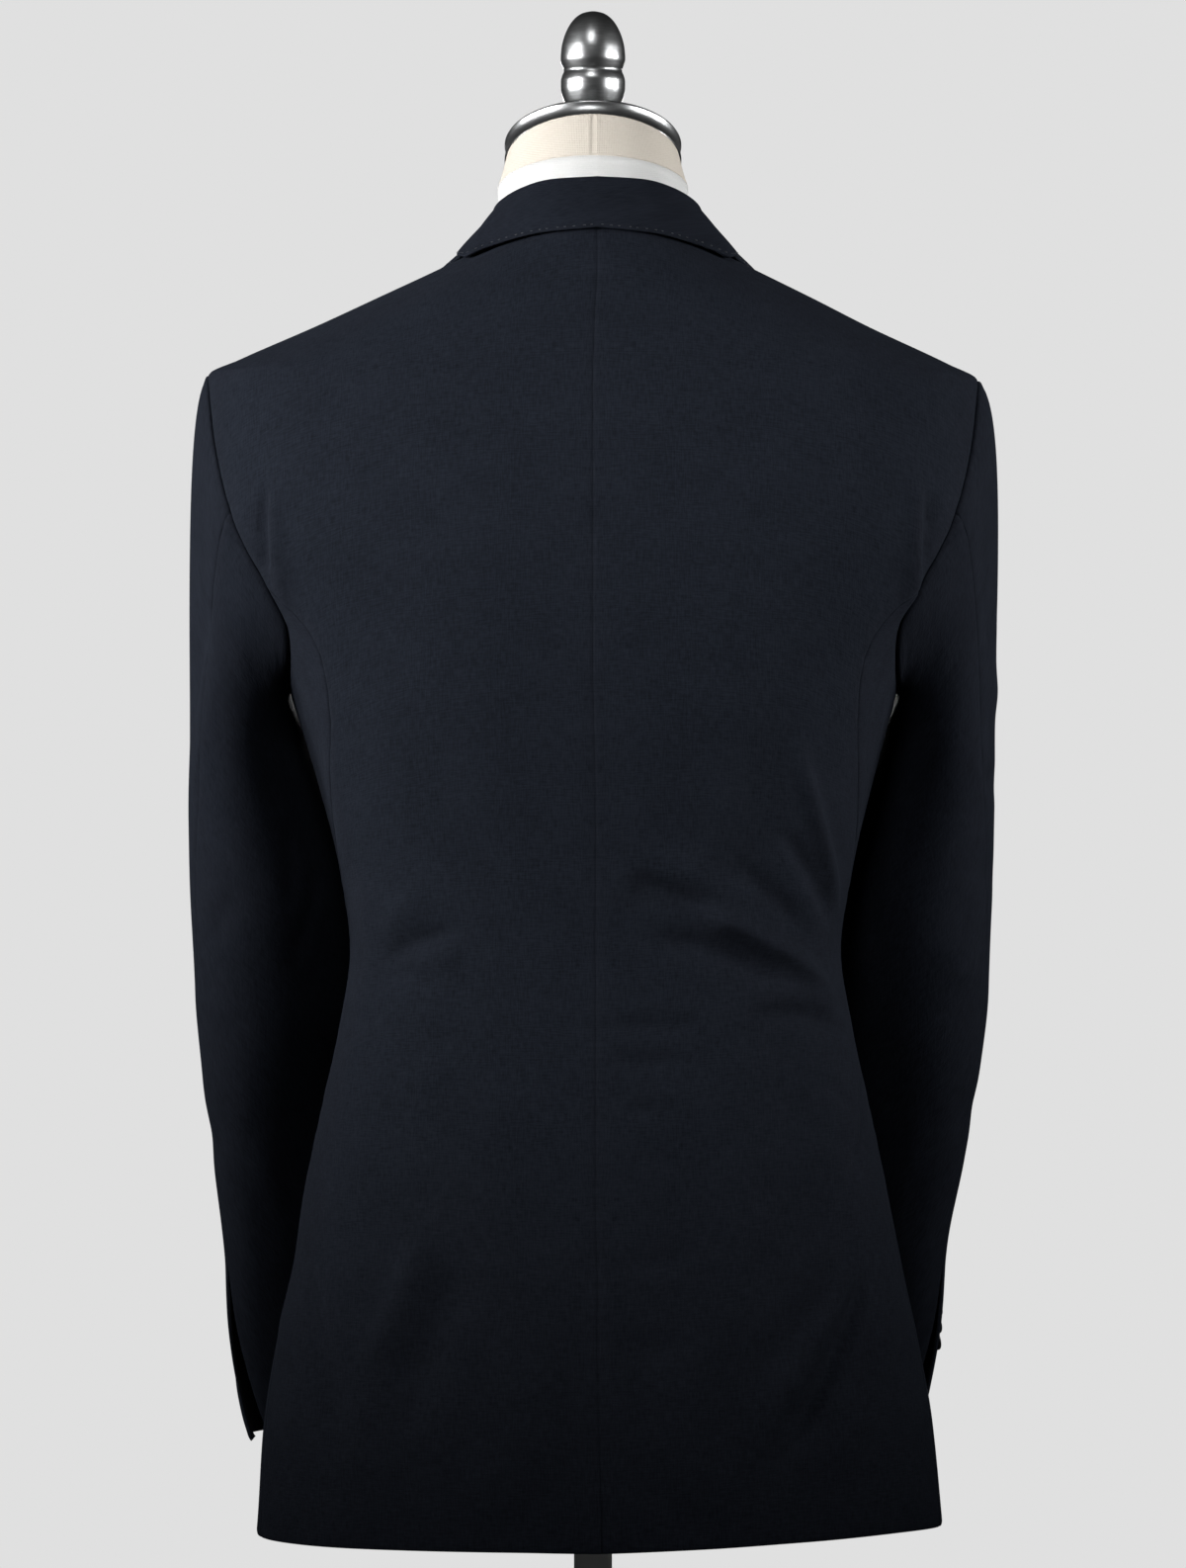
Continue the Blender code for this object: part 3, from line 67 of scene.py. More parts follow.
# ---- The body's level slices ----
# height over the hem, half width, centre x, ridge y, back depth, front depth
BODY_SECTIONS = (
    (-0.014, 0.2, -0.0042, 0.0, 0.138, 0.1385),
    (0.0, 0.1987, -0.0042, 0.0, 0.137, 0.138),
    (0.062, 0.1934, -0.003, 0.0, 0.1345, 0.137),
    (0.108, 0.1858, -0.0026, 0.0, 0.131, 0.1345),
    (0.153, 0.1762, -0.0026, 0.0, 0.1265, 0.131),
    (0.199, 0.1682, -0.0015, 0.0, 0.119, 0.127),
    (0.245, 0.1585, -0.0015, 0.0, 0.1105, 0.122),
    (0.291, 0.1485, -0.0016, 0.0, 0.101, 0.118),
    (0.336, 0.142, -0.0014, 0.0, 0.095, 0.116),
    (0.382, 0.1482, -0.0018, 0.0, 0.0985, 0.118),
    (0.428, 0.1591, -0.0014, 0.0, 0.1075, 0.123),
    (0.474, 0.1722, -0.0005, 0.0, 0.117, 0.128),
    (0.5, 0.1805, 0.0, 0.0, 0.121, 0.1295),
    (0.52, 0.189, 0.0, 0.0, 0.124, 0.13),
    (0.542, 0.2045, 0.0, 0.0, 0.126, 0.1295),
    (0.565, 0.217, 0.0, 0.0, 0.127, 0.128),
    (0.588, 0.222, 0.0, 0.0, 0.1268, 0.125),
    (0.62, 0.2235, 0.0, 0.0, 0.124, 0.118),
    (0.65, 0.2235, 0.0, 0.0, 0.1185, 0.108),
    (0.668, 0.2222, 0.0, 0.0, 0.114, 0.1),
    (0.676, 0.206, -0.0005, 0.001, 0.1115, 0.097),
    (0.696, 0.16, -0.001, 0.004, 0.104, 0.089),
    (0.712, 0.126, -0.002, 0.006, 0.096, 0.08),
    (0.728, 0.0915, -0.0025, 0.009, 0.086, 0.069),
    (0.7335, 0.08, -0.0025, 0.01, 0.082, 0.064),
    (0.757, 0.03, -0.0025, 0.01, 0.07, 0.048),
)
SLICE_POWER = 2.4
RIGHT_SHOULDER_DROP = 0.003  # the right shoulder sits this much lower than the left one
SHOULDER_DROP_START = 0.56  # the drop begins at this height over the hem
SHOULDER_DROP_REACH = 0.09  # and is whole this much higher
# angle round the body, how far the hem is lifted there on the left, on the right
HEM_LIFT = ((0.0, 0.0015, 0.0015), (12.0, 0.002, 0.0035), (30.0, 0.0018, 0.006), (55.0, 0.001, 0.0078),
            (90.0, 0.0, 0.0052), (112.0, 0.0, 0.003), (135.0, 0.0, 0.0008), (180.0, 0.0, 0.0))
HEM_LIFT_REACH = 0.15  # height over the hem at which the lift has died away

# ---- Seam lines of the panels: height over the hem, angle from the centre back in degrees ----
BACK_SEAM = ((-0.014, 78.0), (0.15, 84.0), (0.336, 92.0), (0.39, 82.0), (0.43, 69.0), (0.474, 58.5),
             (0.505, 55.5), (0.53, 58.5), (0.556, 67.0))
FRONT_SEAM = ((-0.014, 113.0), (0.336, 115.0), (0.48, 114.0), (0.56, 114.0))

# ---- The armhole: depth y and height over the hem at even steps round it, from the shoulder backwards
ARMHOLE = (
    (0.0, 0.668), (0.023, 0.659), (0.037, 0.633), (0.05, 0.606), (0.061, 0.578), (0.067, 0.55),
    (0.059, 0.519), (0.034, 0.4935), (-0.002, 0.484), (-0.038, 0.493), (-0.063, 0.518),
    (-0.073, 0.55), (-0.07, 0.585), (-0.056, 0.618), (-0.037, 0.643), (-0.017, 0.66),
)
ARMHOLE_LOWEST = int(np.argmin([row[1] for row in ARMHOLE])) / len(ARMHOLE)  # share of the way round
LOOP_SAMPLES = 400  # steps that each half of the armhole is read with
SHOULDER_HEIGHT = ARMHOLE[0][1]  # over the hem, where the shoulder seam meets the armhole
SHOULDER_HALF = 0.2222  # half width between the two shoulder points
NECK_POINT_HEIGHT = 0.7335  # over the hem, where the shoulder seam meets the neckline

# ---- Front edge and lapel ----
OVERLAP = 0.018  # each front passes the centre by this much
BREAK_HEIGHT = 0.35  # where the lapel starts to turn, over the hem
ROLL_TOP_X = 0.071  # the roll line meets the collar here
ROLL_TOP_HEIGHT = 0.705
CUTAWAY_START = 0.2  # the front edge leaves the centre below this height
CUTAWAY_SWING = 0.034
QUARTER_HEIGHT = 0.07  # height of the rounded corner at the hem
QUARTER_WIDTH = 0.075
FRONT_HEM_DROP = 0.01  # the fronts hang this much lower than the back
UNDERLAP_DEPTH = 0.0072  # how far the right front lies behind the left one
UNDERLAP_REACH = 0.085  # the let-in dies away this far from the centre
UNDERLAP_TOP = 0.57  # and at this height over the hem
UNDERLAP_RISE = 0.135  # over this much height
LAPEL_TIP = (0.13, 0.656)  # x and height over the hem of the lapel's corner
LAPEL_BELLY = 0.006  # outward swell of the lapel's long edge
ROLL_GAP = 0.0014  # air between a front's edge and the lapel that turns over it
LAPEL_FULL_WIDTH = 0.06  # width from which the lapel bows fully
LAPEL_STAND = 0.0022  # how far the lapel's middle bows off the front
NOTCH_SHARE = 0.56  # share of the gorge that the collar is sewn to

# ---- Collar: stations from the centre back (0) over the shoulder (4) to the front end of the gorge (7)
# station, fold x, fold y, fold height, fall edge's angle round the body, fall edge's height
COLLAR_STATIONS = (
    (0.0, 0.0, 0.066, 0.778, 0.0, 0.746),
    (1.0, 0.0253, 0.062, 0.7768, 32.0, 0.7412),
    (2.0, 0.043, 0.048, 0.773, 50.0, 0.7345),
    (3.0, 0.0585, 0.022, 0.7645, 56.0, 0.73),
    (4.0, 0.062, -0.004, 0.756, 90.0, 0.7338),
    (5.0, 0.064, -0.027, 0.745, 120.0, 0.7165),
    (6.0, 0.067, -0.05, 0.727, 133.0, 0.698),
    (7.0, 0.071, -0.0735, 0.7062, 152.6, 0.6776),
)
COLLAR_END = 7.0
GORGE_GAP = 0.0008  # along the roll line, from the gorge to the collar's end and to the lapel
COLLAR_SHOULDER = 4.0
COLLAR_FOLD_RADIUS = 0.0026
COLLAR_FOOT_GAP = 0.0002  # air between the collar's foot and the neckline
COLLAR_FOOT_TUCK = 0.0045  # how far the foot reaches down inside the neckline
COLLAR_CENTRE_X = -0.0025
FALL_EASE = 0.0004  # air under the fall's edge over that between other layers
FALL_SWELL = 0.0014  # outward curve of the fall between its fold and its edge
FALL_FRONT_SWELL = 0.0022  # and so much more in front of the shoulder

# ---- Sleeves: height over the hem, centre x, centre y, half width, half depth, yaw in degrees,
#      how much further in and forward the right sleeve hangs at that height ---------------------------
SLEEVE_RINGS = (
    (0.455, 0.1984, -0.038, 0.0332, 0.08, 9.0, 0.0, 0.012),
    (0.41, 0.1915, -0.041, 0.0398, 0.074, 15.0, 0.0011, 0.014),
    (0.36, 0.1867, -0.043, 0.0438, 0.069, 18.0, 0.0012, 0.013),
    (0.31, 0.1846, -0.055, 0.044, 0.066, 20.0, 0.0008, 0.009),
    (0.26, 0.1838, -0.07, 0.039, 0.064, 24.0, 0.002, 0.01),
    (0.21, 0.1796, -0.088, 0.034, 0.062, 30.0, 0.0044, 0.012),
    (0.16, 0.1742, -0.103, 0.03, 0.06, 36.0, 0.008, 0.014),
    (0.11, 0.1698, -0.115, 0.027, 0.059, 41.0, 0.0088, 0.014),
    (0.06, 0.1626, -0.125, 0.025, 0.058, 44.0, 0.0097, 0.014),
    (0.047, 0.1595, -0.127, 0.0245, 0.058, 44.0, 0.0094, 0.014),
)
SLEEVE_POWER = 2.1
ARMHOLE_GAP = -0.0006  # the sleeve head starts this far inside the armhole's edge
UNDERARM_REACH = 0.019  # how far the sleeve springs out under the arm
CAP_REACH = {1: 0.045, -1: 0.06}  # how far each sleeve head springs out at the shoulder
HEAD_DROP = 0.004  # how far each sleeve head falls as it springs out, at the least,
HEAD_DROP_TOP = 0.016  # so much more at the shoulder
HEAD_DROP_ASIDE = 0.014  # and at the front and the back
HEAD_LEAN = 0.004  # how far it springs out backwards and forwards
HEAD_ARRIVAL = 1.15  # its rate of fall where it meets the hanging sleeve
ELBOW_SEAM = ((0.0, 83.0), (0.13, 80.0), (0.25, 71.0), (0.385, 62.0), (0.475, 52.0), (0.6, 47.0),
              (0.75, 56.0), (0.86, 76.0), (0.99, 100.0), (1.0, 101.0))
INNER_SEAM = ((0.0, 235.0), (1.0, 222.0))
VENT_HEIGHT = 0.15  # the cuff vent runs from here down, over the hem
VENT_FLARE = {1: 0.0062, -1: 0.005}  # how far the vent's flap stands off sideways at the cuff
VENT_ONSET = 2  # power of its easing in, from the vent's top down
VENT_CORNER = 28.0  # degrees over which the vent's two lower corners leave the cuff's level
VENT_TIP_DROP = 0.0022  # the flap's corner hangs this much lower
VENT_UNDER_LIFT = 0.006  # and the corner below it sits this much higher
VENT_FLARE_DEGREES = 34.0  # width of the flap that stands off, round the sleeve from the seam
VENT_EASE = 4.0  # degrees that the under half stops short of the vent at the cuff

# ---- Buttons ----
FRONT_BUTTON_RADIUS = 0.01
FRONT_BUTTON_THICKNESS = 0.0036
FRONT_BUTTON_HEIGHTS = (0.332, 0.222)
# share of the radius and of the thickness, from the middle of the back round the rim to that of the face
BUTTON_PROFILE = (
    (0.001, 0.0), (0.9, 0.0), (0.955, 0.1), (0.99, 0.35), (1.0, 0.62), (0.985, 0.82), (0.94, 0.95),
    (0.88, 1.0), (0.8, 0.985), (0.7, 0.86), (0.6, 0.78), (0.001, 0.76),
)
BUTTON_DISH = 9  # row of the profile where the face's dish begins
CUFF_BUTTON_RADIUS = 0.0072
CUFF_BUTTON_THICKNESS = 0.0022
CUFF_BUTTON_COUNT = 4
CUFF_BUTTON_PITCH = 0.0098
CUFF_BUTTON_FIRST = 0.131  # height of the top one over the hem
CUFF_BUTTON_TILT = 17.0  # degrees, each laps over the next
CUFF_BUTTON_TURN = {1: 60.0, -1: 48.0}  # degrees round the sleeve from the elbow seam to the buttons
CUFF_BUTTON_GAP = 0.0006  # air under a button's lowest edge
CAP_SHARE = 0.34  # share of a sleeve's rows that the head takes
NAPE_LIFT = 0.0235  # the back neckline rises this much from the shoulder seam to the centre
SINK_START = 0.62  # above this height a front's rows dip towards the neck
UNDERARM_EASE = 0.0015  # the side body stops this far below the armhole's lowest part

# ---- Pockets ----
FLAP_HEIGHT = 0.226  # the flap's upper edge over the hem
FLAP_DROP = 0.05
FLAP_INNER_X = 0.07
FLAP_OUTER_ANGLE = 113.0  # degrees round the body, from the centre back
WELT_INNER_X = 0.095
WELT_OUTER_X = 0.178
WELT_HEIGHT = 0.56
WELT_RISE = 0.012
WELT_DROP = 0.024

# ---- The dress form ----
# height over the floor, half width, centre y, half depth, forward tilt of the ring in degrees
TORSO_RINGS = (
    (0.172, 0.15, 0.0, 0.108, 0.0),
    (0.2, 0.162, 0.0, 0.115, 0.0),
    (0.27, 0.166, 0.0, 0.115, 0.0),
    (0.35, 0.15, 0.0, 0.105, 0.0),
    (0.42, 0.134, 0.0, 0.093, 0.0),
    (0.476, 0.128, -0.004, 0.088, 0.0),
    (0.53, 0.136, -0.006, 0.093, 0.0),
    (0.6, 0.154, -0.006, 0.104, 0.0),
    (0.66, 0.164, -0.003, 0.112, 0.0),
    (0.72, 0.17, 0.0, 0.108, 0.0),
    (0.76, 0.17, 0.004, 0.098, 0.0),
    (0.785, 0.162, 0.006, 0.088, 1.0),
    (0.805, 0.144, 0.008, 0.079, 2.0),
    (0.825, 0.116, 0.009, 0.07, 4.0),
    (0.842, 0.086, 0.009, 0.062, 7.0),
    (0.858, 0.064, 0.007, 0.057, 10.0),
    (0.874, 0.056, 0.004, 0.054, 13.0),
    (0.89, 0.0535, 0.001, 0.0535, 15.0),
    (0.915, 0.0552, 0.0, 0.0552, 16.0),
)
TORSO_POWER = 2.3
NECK_POWER = 2.0
ROUND_START = 0.8  # the rings turn from one power to the other above this height
ROUND_REACH = 0.09  # over this much
NECK_MIDDLE_RADIUS = 0.0525
FORM_GAP = 0.0003
NECK_TOP_Z = 0.9314
NECK_TOP_RADIUS = 0.0504
CAP_TILT = 25.0
CAP_RADIUS = 0.0512
CAP_THICKNESS = 0.0098
CAP_EDGE = 0.0012
FINIAL_FOOT_Z = 0.942
# radius and height over the finial's foot, from the foot to the crown
FINIAL_PROFILE = (
    (0.0108, 0.0095), (0.0112, 0.012), (0.014, 0.019), (0.0172, 0.026), (0.0186, 0.033), (0.0186, 0.0365),
    (0.0178, 0.04), (0.0168, 0.0425), (0.0176, 0.045), (0.0187, 0.0495), (0.0183, 0.0555), (0.0168, 0.062),
    (0.0142, 0.068), (0.0105, 0.073), (0.006, 0.076), (0.002, 0.077),
)
POST_RADIUS = 0.011
BASE_RADIUS = 0.145
BASE_THICKNESS = 0.014
BASE_EDGE = 0.004


# ==== Curves and surfaces ====
def cubic(t: Array, start: Array, leave: Array, end: Array, arrive: Array) -> Array:
    """Cubic from `start` to `end` as `t` runs 0 to 1, with the rates `leave` and `arrive` at its ends."""
    return (start * (2 * t**3 - 3 * t**2 + 1) + end * (3 * t**2 - 2 * t**3)
            + (leave * (t**3 - 2 * t**2 + t) + arrive * (t**3 - t**2)))


def smooth(table: Table, column: int, at: Array) -> Array:
    """Read a column of a table between its rows, as a cubic that never overshoots the rows.

    Args:
        table: rows whose first value rises.
        column: the column to read.
        at: where to read it, in units of the first column.

    Returns:
        The values, in the shape of `at`.
    """
    rows = np.array([(row[0], row[column]) for row in table])
    knots, values = rows[:, 0], rows[:, 1]
    at = np.clip(np.asarray(at, dtype=float), knots[0], knots[-1])
    steps = np.diff(knots)
    slopes = np.diff(values) / steps
    tangents = np.zeros(len(knots))
    product = slopes[:-1] * slopes[1:]
    total = np.where(np.abs(slopes[:-1] + slopes[1:]) < 1e-12, 1.0, slopes[:-1] + slopes[1:])
    tangents[1:-1] = np.where(product > 0.0, 2.0 * product / total, 0.0)
    tangents[0], tangents[-1] = slopes[0], slopes[-1]
    span = np.clip(np.searchsorted(knots, at, side="right") - 1, 0, len(steps) - 1)
    t = (at - knots[span]) / steps[span]
    leave, arrive = steps[span] * tangents[span], steps[span] * tangents[span + 1]
    return cubic(t, values[span], leave, values[span + 1], arrive)


def closed_curve(points: Table, at: Array) -> Array:
    """Read a closed Catmull-Rom curve through evenly numbered points; `at` runs 0 to 1 round it."""
    corners = np.array(points)
    count = len(corners)
    place = (np.asarray(at, dtype=float) % 1.0) * count
    first = np.floor(place).astype(int)
    t = (place - first)[..., None]
    a, b, c, d = (corners[(first + k) % count] for k in (-1, 0, 1, 2))
    return 0.5 * (2 * b + (c - a) * t + (2 * a - 5 * b + 4 * c - d) * t**2 + (3 * b - a - 3 * c + d) * t**3)


def signed_power(value: Array, power: float) -> Array:
    """Raise the size of a number to a power and keep its sign."""
    return np.sign(value) * np.abs(value) ** power


def paired(one: Array, other: Array) -> tuple[Array, Array]:
    """Two values brought to one shape, as floats."""
    return tuple(np.broadcast_arrays(np.asarray(one, float), np.asarray(other, float)))


def turn_steps(count: int) -> Array:
    """Even steps round a circle in radians, as one row."""
    return np.linspace(0.0, 2.0 * math.pi, count, endpoint=False)[None, :]


def unit(vectors: Array) -> Array:
    """Scale vectors to length one."""
    return vectors / np.maximum(np.linalg.norm(vectors, axis=-1, keepdims=True), 1e-12)


def within(value: Array) -> Array:
    """Hold a value between 0 and 1."""
    return np.clip(value, 0.0, 1.0)


def ease(value: Array) -> Array:
    """Smooth step: 0 below 0, 1 above 1, a soft S between."""
    t = within(value)
    return t * t * (3.0 - 2.0 * t)


def bell(distance: Array, width: float) -> Array:
    """Soft bell: 1 at the middle, fading to nothing a little beyond `width`."""
    return np.exp(-((distance / width) ** 2))


def run_along(points: Array, axis: int) -> Array:
    """Real distance from the first point along one direction of a grid of points."""
    steps = np.linalg.norm(np.diff(points, axis=axis), axis=-1)
    start = np.zeros_like(np.take(steps, [0], axis=axis))
    return np.concatenate([start, np.cumsum(steps, axis=axis)], axis=axis)


def read_along(at: Array, run: Array, rows: Array) -> Array:
    """Rows of three numbers read between the places `run` where they stand."""
    return np.stack([np.interp(at, run, rows[:, k]) for k in range(3)], axis=-1)


def grid_normals(points: Array) -> Array:
    """Normals of a grid of points, from the cross product of its two directions."""
    return unit(np.cross(np.gradient(points, axis=1), np.gradient(points, axis=0)))


class Side(Enum):
    """The wearer's two sides; the value is the sign of x."""

    LEFT = 1
    RIGHT = -1

    @property
    def label(self) -> str:
        """The side's name, as the nodes have it."""
        return self.name.lower()


# ==== The garment's body form ====
def level_slice(height: Array) -> list[Array]:
    """Half width, centre x, ridge y, back depth and front depth of the body's slice at a height."""
    return [smooth(BODY_SECTIONS, column, height) for column in range(1, 6)]


class BodyForm:
    """The worn body of the jacket: level slices, each a superellipse, sizes running through the table."""

    GIRTH_TURNS = 181
    GIRTH_LEVELS = 90

    def __init__(self) -> None:
        """Lay out the table of real distance round the body that creases are placed by."""
        self.turns = np.linspace(0.0, 180.0, self.GIRTH_TURNS)
        self.levels = np.linspace(BODY_SECTIONS[0][0], BODY_SECTIONS[-1][0], self.GIRTH_LEVELS)
        self.girths = {side: run_along(self.point(side, self.turns[None, :], self.levels[:, None]), 1)
                       for side in Side}

    def point(self, side: Side, angle: Array, height: Array) -> Array:
        """Point at an angle in degrees from the centre back and a height over the hem.

        x is the half width times the sine, y the depth times the cosine, both to the slice's power;
        the hem is lifted by HEM_LIFT and the right shoulder dropped.

        Args:
            side: the wearer's side.
            angle: degrees round the body from the centre back.
            height: metres over the hem.

        Returns:
            The points, in the shape of the two together x 3.
        """
        angle, height = paired(angle, height)
        turn = np.radians(angle)
        half, centre, ridge, back, front = level_slice(height)
        depth = np.where(np.cos(turn) > 0.0, back, front)
        x = centre + side.value * half * signed_power(np.sin(turn), 2.0 / SLICE_POWER)
        y = ridge + depth * signed_power(np.cos(turn), 2.0 / SLICE_POWER)
        raised = np.clip(1.0 - height / HEM_LIFT_REACH, 0.0, 1.1) ** 2
        lift = smooth(HEM_LIFT, 1 if side is Side.LEFT else 2, angle) * raised
        drop = 0.0
        if side is Side.RIGHT:
            risen = ease((height - SHOULDER_DROP_START) / SHOULDER_DROP_REACH)
            drop = RIGHT_SHOULDER_DROP * risen * (x / SHOULDER_HALF) ** 2
        return np.stack([x, y, HEM_Z + height + lift - drop], axis=-1)

    def normal(self, side: Side, angle: Array, height: Array) -> Array:
        """Outward normal, from small steps in both directions."""
        turn, rise = 0.05, 0.0005
        turned = self.point(side, angle + turn, height) - self.point(side, angle - turn, height)
        raised = self.point(side, angle, height + rise) - self.point(side, angle, height - rise)
        return unit(np.cross(raised, turned)) * side.value

    def angle_at_x(self, side: Side, x: Array, height: Array, front: bool) -> Array:
        """Angle round the body at which a level slice reaches a given x.

        Args:
            side: the wearer's side.
            x: place across the body.
            height: metres over the hem.
            front: whether the front is meant or the back.

        Returns:
            The angles, in degrees from the centre back.
        """
        half, centre = level_slice(height)[:2]
        share = np.clip((np.asarray(x, float) - centre) * side.value / half, -1.0, 1.0)
        turn = np.degrees(np.arcsin(signed_power(share, SLICE_POWER / 2.0)))
        return 180.0 - turn if front else turn

    def angle_past_centre(self, side: Side, x: Array, height: Array) -> Array:
        """Angle on the front at x, also past the centre line, where it goes over 180 degrees."""
        centre = level_slice(height)[1]
        reach = side.value * (x - centre)
        angle = self.angle_at_x(side, centre + side.value * np.abs(reach), height, True)
        return np.where(reach >= 0.0, angle, 360.0 - angle)

    def girth(self, side: Side, angle: Array, height: Array) -> Array:
        """Real distance round the body from the centre back, read between the laid-out values.

        Args:
            side: the wearer's side.
            angle: degrees from the centre back.
            height: metres over the hem.

        Returns:
            The distances, in metres.
        """
        angle, height = paired(angle, height)
        turns, levels = self.GIRTH_TURNS - 1, self.GIRTH_LEVELS - 1
        column = np.clip(angle / 180.0 * turns, 0, turns - 0.001)
        row = (height - self.levels[0]) / (self.levels[-1] - self.levels[0])
        row = np.clip(row * levels, 0, levels - 0.001)
        i, j = row.astype(int), column.astype(int)
        u, v = row - i, column - j
        g = self.girths[side]
        return ((g[i, j] * (1 - v) + g[i, j + 1] * v) * (1 - u)
                + (g[i + 1, j] * (1 - v) + g[i + 1, j + 1] * v) * u)

    def armhole(self, share: Array) -> tuple[Array, Array]:
        """Angle and height of the armhole, `share` running 0 to 1 round it from the shoulder backwards."""
        loop = closed_curve(ARMHOLE, share)
        y, height = loop[..., 0], loop[..., 1]
        _, _, ridge, back, front = level_slice(height)
        level = np.clip((y - ridge) / np.where(y > ridge, back, front), -1.0, 1.0)
        return np.degrees(np.arccos(signed_power(level, SLICE_POWER / 2.0))), height

    def armhole_edge(self, front: bool) -> tuple[Array, Array]:
        """The armhole's front or back half as rising heights and the angles there."""
        angles, heights = self.armhole(np.linspace(ARMHOLE_LOWEST, 1.0 if front else 0.0, LOOP_SAMPLES))
        return np.maximum.accumulate(heights), angles

    def junction(self, seam: Table, front: bool) -> float:
        """Height over the hem at which a side seam runs into the armhole."""
        heights, angles = self.armhole_edge(front)
        gap = (angles - smooth(seam, 1, heights)) * (1.0 if front else -1.0)
        return float(heights[np.nonzero(gap > 0.0)[0][0]])


BODY = BodyForm()


def front_edge_x(side: Side, height: Array) -> Array:
    """x of a front's inner edge at a height over the hem: overlap, cutaway, rounded quarter, roll line."""
    height = np.asarray(height, float)
    swing = np.clip((CUTAWAY_START - height) / CUTAWAY_START, 0.0, None) ** 2 * CUTAWAY_SWING
    corner = within((QUARTER_HEIGHT - FRONT_HEM_DROP - height) / QUARTER_HEIGHT)
    quarter = QUARTER_WIDTH * (1.0 - np.sqrt(1.0 - corner**2))
    turn = np.clip((height - BREAK_HEIGHT) / (ROLL_TOP_HEIGHT - BREAK_HEIGHT), 0.0, None)
    return side.value * (-OVERLAP + swing + quarter + turn * (ROLL_TOP_X + OVERLAP))


def front_sink(low: Array) -> Array:
    """How much lower a front's row meets its inner edge than its outer edge."""
    rise = within((low - SINK_START) / (NECK_POINT_HEIGHT - SINK_START))
    return (NECK_POINT_HEIGHT - ROLL_TOP_HEIGHT) * rise**2


def underlap(side: Side, points: Array) -> Array:
    """How far the right front is let in behind the left one, faded out away from the centre."""
    if side is Side.LEFT:
        return np.zeros(points.shape[:-1])
    near = (points[..., 0] + UNDERLAP_REACH) / (UNDERLAP_REACH - OVERLAP)
    below = (UNDERLAP_TOP + HEM_Z - points[..., 2]) / UNDERLAP_RISE
    return UNDERLAP_DEPTH * ease(near) * ease(below)


def front_point(side: Side, angle: Array, height: Array, lift: Array) -> tuple[Array, Array]:
    """Point of a front, `lift` metres outside its outer face, and the normal there.

    Args:
        side: the wearer's side.
        angle: degrees from the centre back.
        height: metres over the hem.
        lift: metres outside the outer face.

    Returns:
        The points and the normals.
    """
    base = BODY.point(side, angle, height)
    normal = BODY.normal(side, angle, height)
    return base + normal * (lift - underlap(side, base))[..., None], normal


def turned_row(side: Side, roll: Array, edge: Array, flat_shares: Array, wall: float,
               arc_points: int) -> tuple[Array, Array]:
    """Rows of a turned-over layer: half round the roll line, then flat to the edge, over the front.

    Args:
        side: the wearer's side.
        roll: distance from the centre line and height over the hem of the roll line, row by row.
        edge: the same of the free edge.
        flat_shares: places of the columns between the roll and the edge, 0 to 1.
        wall: thickness of the turned layer.
        arc_points: columns round the roll.

    Returns:
        Points and normals, rows x (arc_points + flat columns).
    """
    reach = np.linalg.norm(edge - roll, axis=-1, keepdims=True)
    direction = (edge - roll) / reach
    radius = (WALL + LAYER_GAP + wall) / 2.0
    shares = np.asarray(flat_shares)
    turns = np.radians(np.linspace(-90.0, 90.0, arc_points))
    arc_run = np.broadcast_to(-ROLL_GAP - radius * np.cos(turns), (len(roll), arc_points))
    run = np.concatenate([arc_run, reach * shares], axis=1)
    arc_lift = np.broadcast_to(LAYER_GAP + wall - radius + radius * np.sin(turns), arc_run.shape)
    bow = 4.0 * shares * (1.0 - shares) * LAPEL_STAND * within(reach / LAPEL_FULL_WIDTH)
    lift = np.concatenate([arc_lift, LAYER_GAP + wall + bow], axis=1)
    place = roll[:, None, :] + direction[:, None, :] * run[..., None]
    x, height = side.value * place[..., 0], place[..., 1]
    return front_point(side, BODY.angle_past_centre(side, x, height), height, lift)


def sleeve_ring(side: Side, turn: Array, height: Array) -> Array:
    """Point of a hanging sleeve: `turn` in degrees from its outer side backwards, at a height.

    Args:
        side: the wearer's side.
        turn: degrees round the sleeve.
        height: metres over the hem.

    Returns:
        The points.
    """
    turn, height = paired(turn, height)
    centre_x, centre_y, half, deep, yaw, inwards, forwards = (
        smooth(SLEEVE_RINGS[::-1], column, height) for column in range(1, 8))
    if side is Side.RIGHT:
        centre_x, centre_y = centre_x - inwards, centre_y - forwards
    angle, yaw = np.radians(turn), np.radians(yaw)
    across = half * signed_power(np.cos(angle), 2.0 / SLEEVE_POWER)
    deep = deep * signed_power(np.sin(angle), 2.0 / SLEEVE_POWER)
    x = centre_x + across * np.cos(yaw) + deep * np.sin(yaw)
    y = centre_y - across * np.sin(yaw) + deep * np.cos(yaw)
    return np.stack([side.value * x, y, HEM_Z + height], axis=-1)


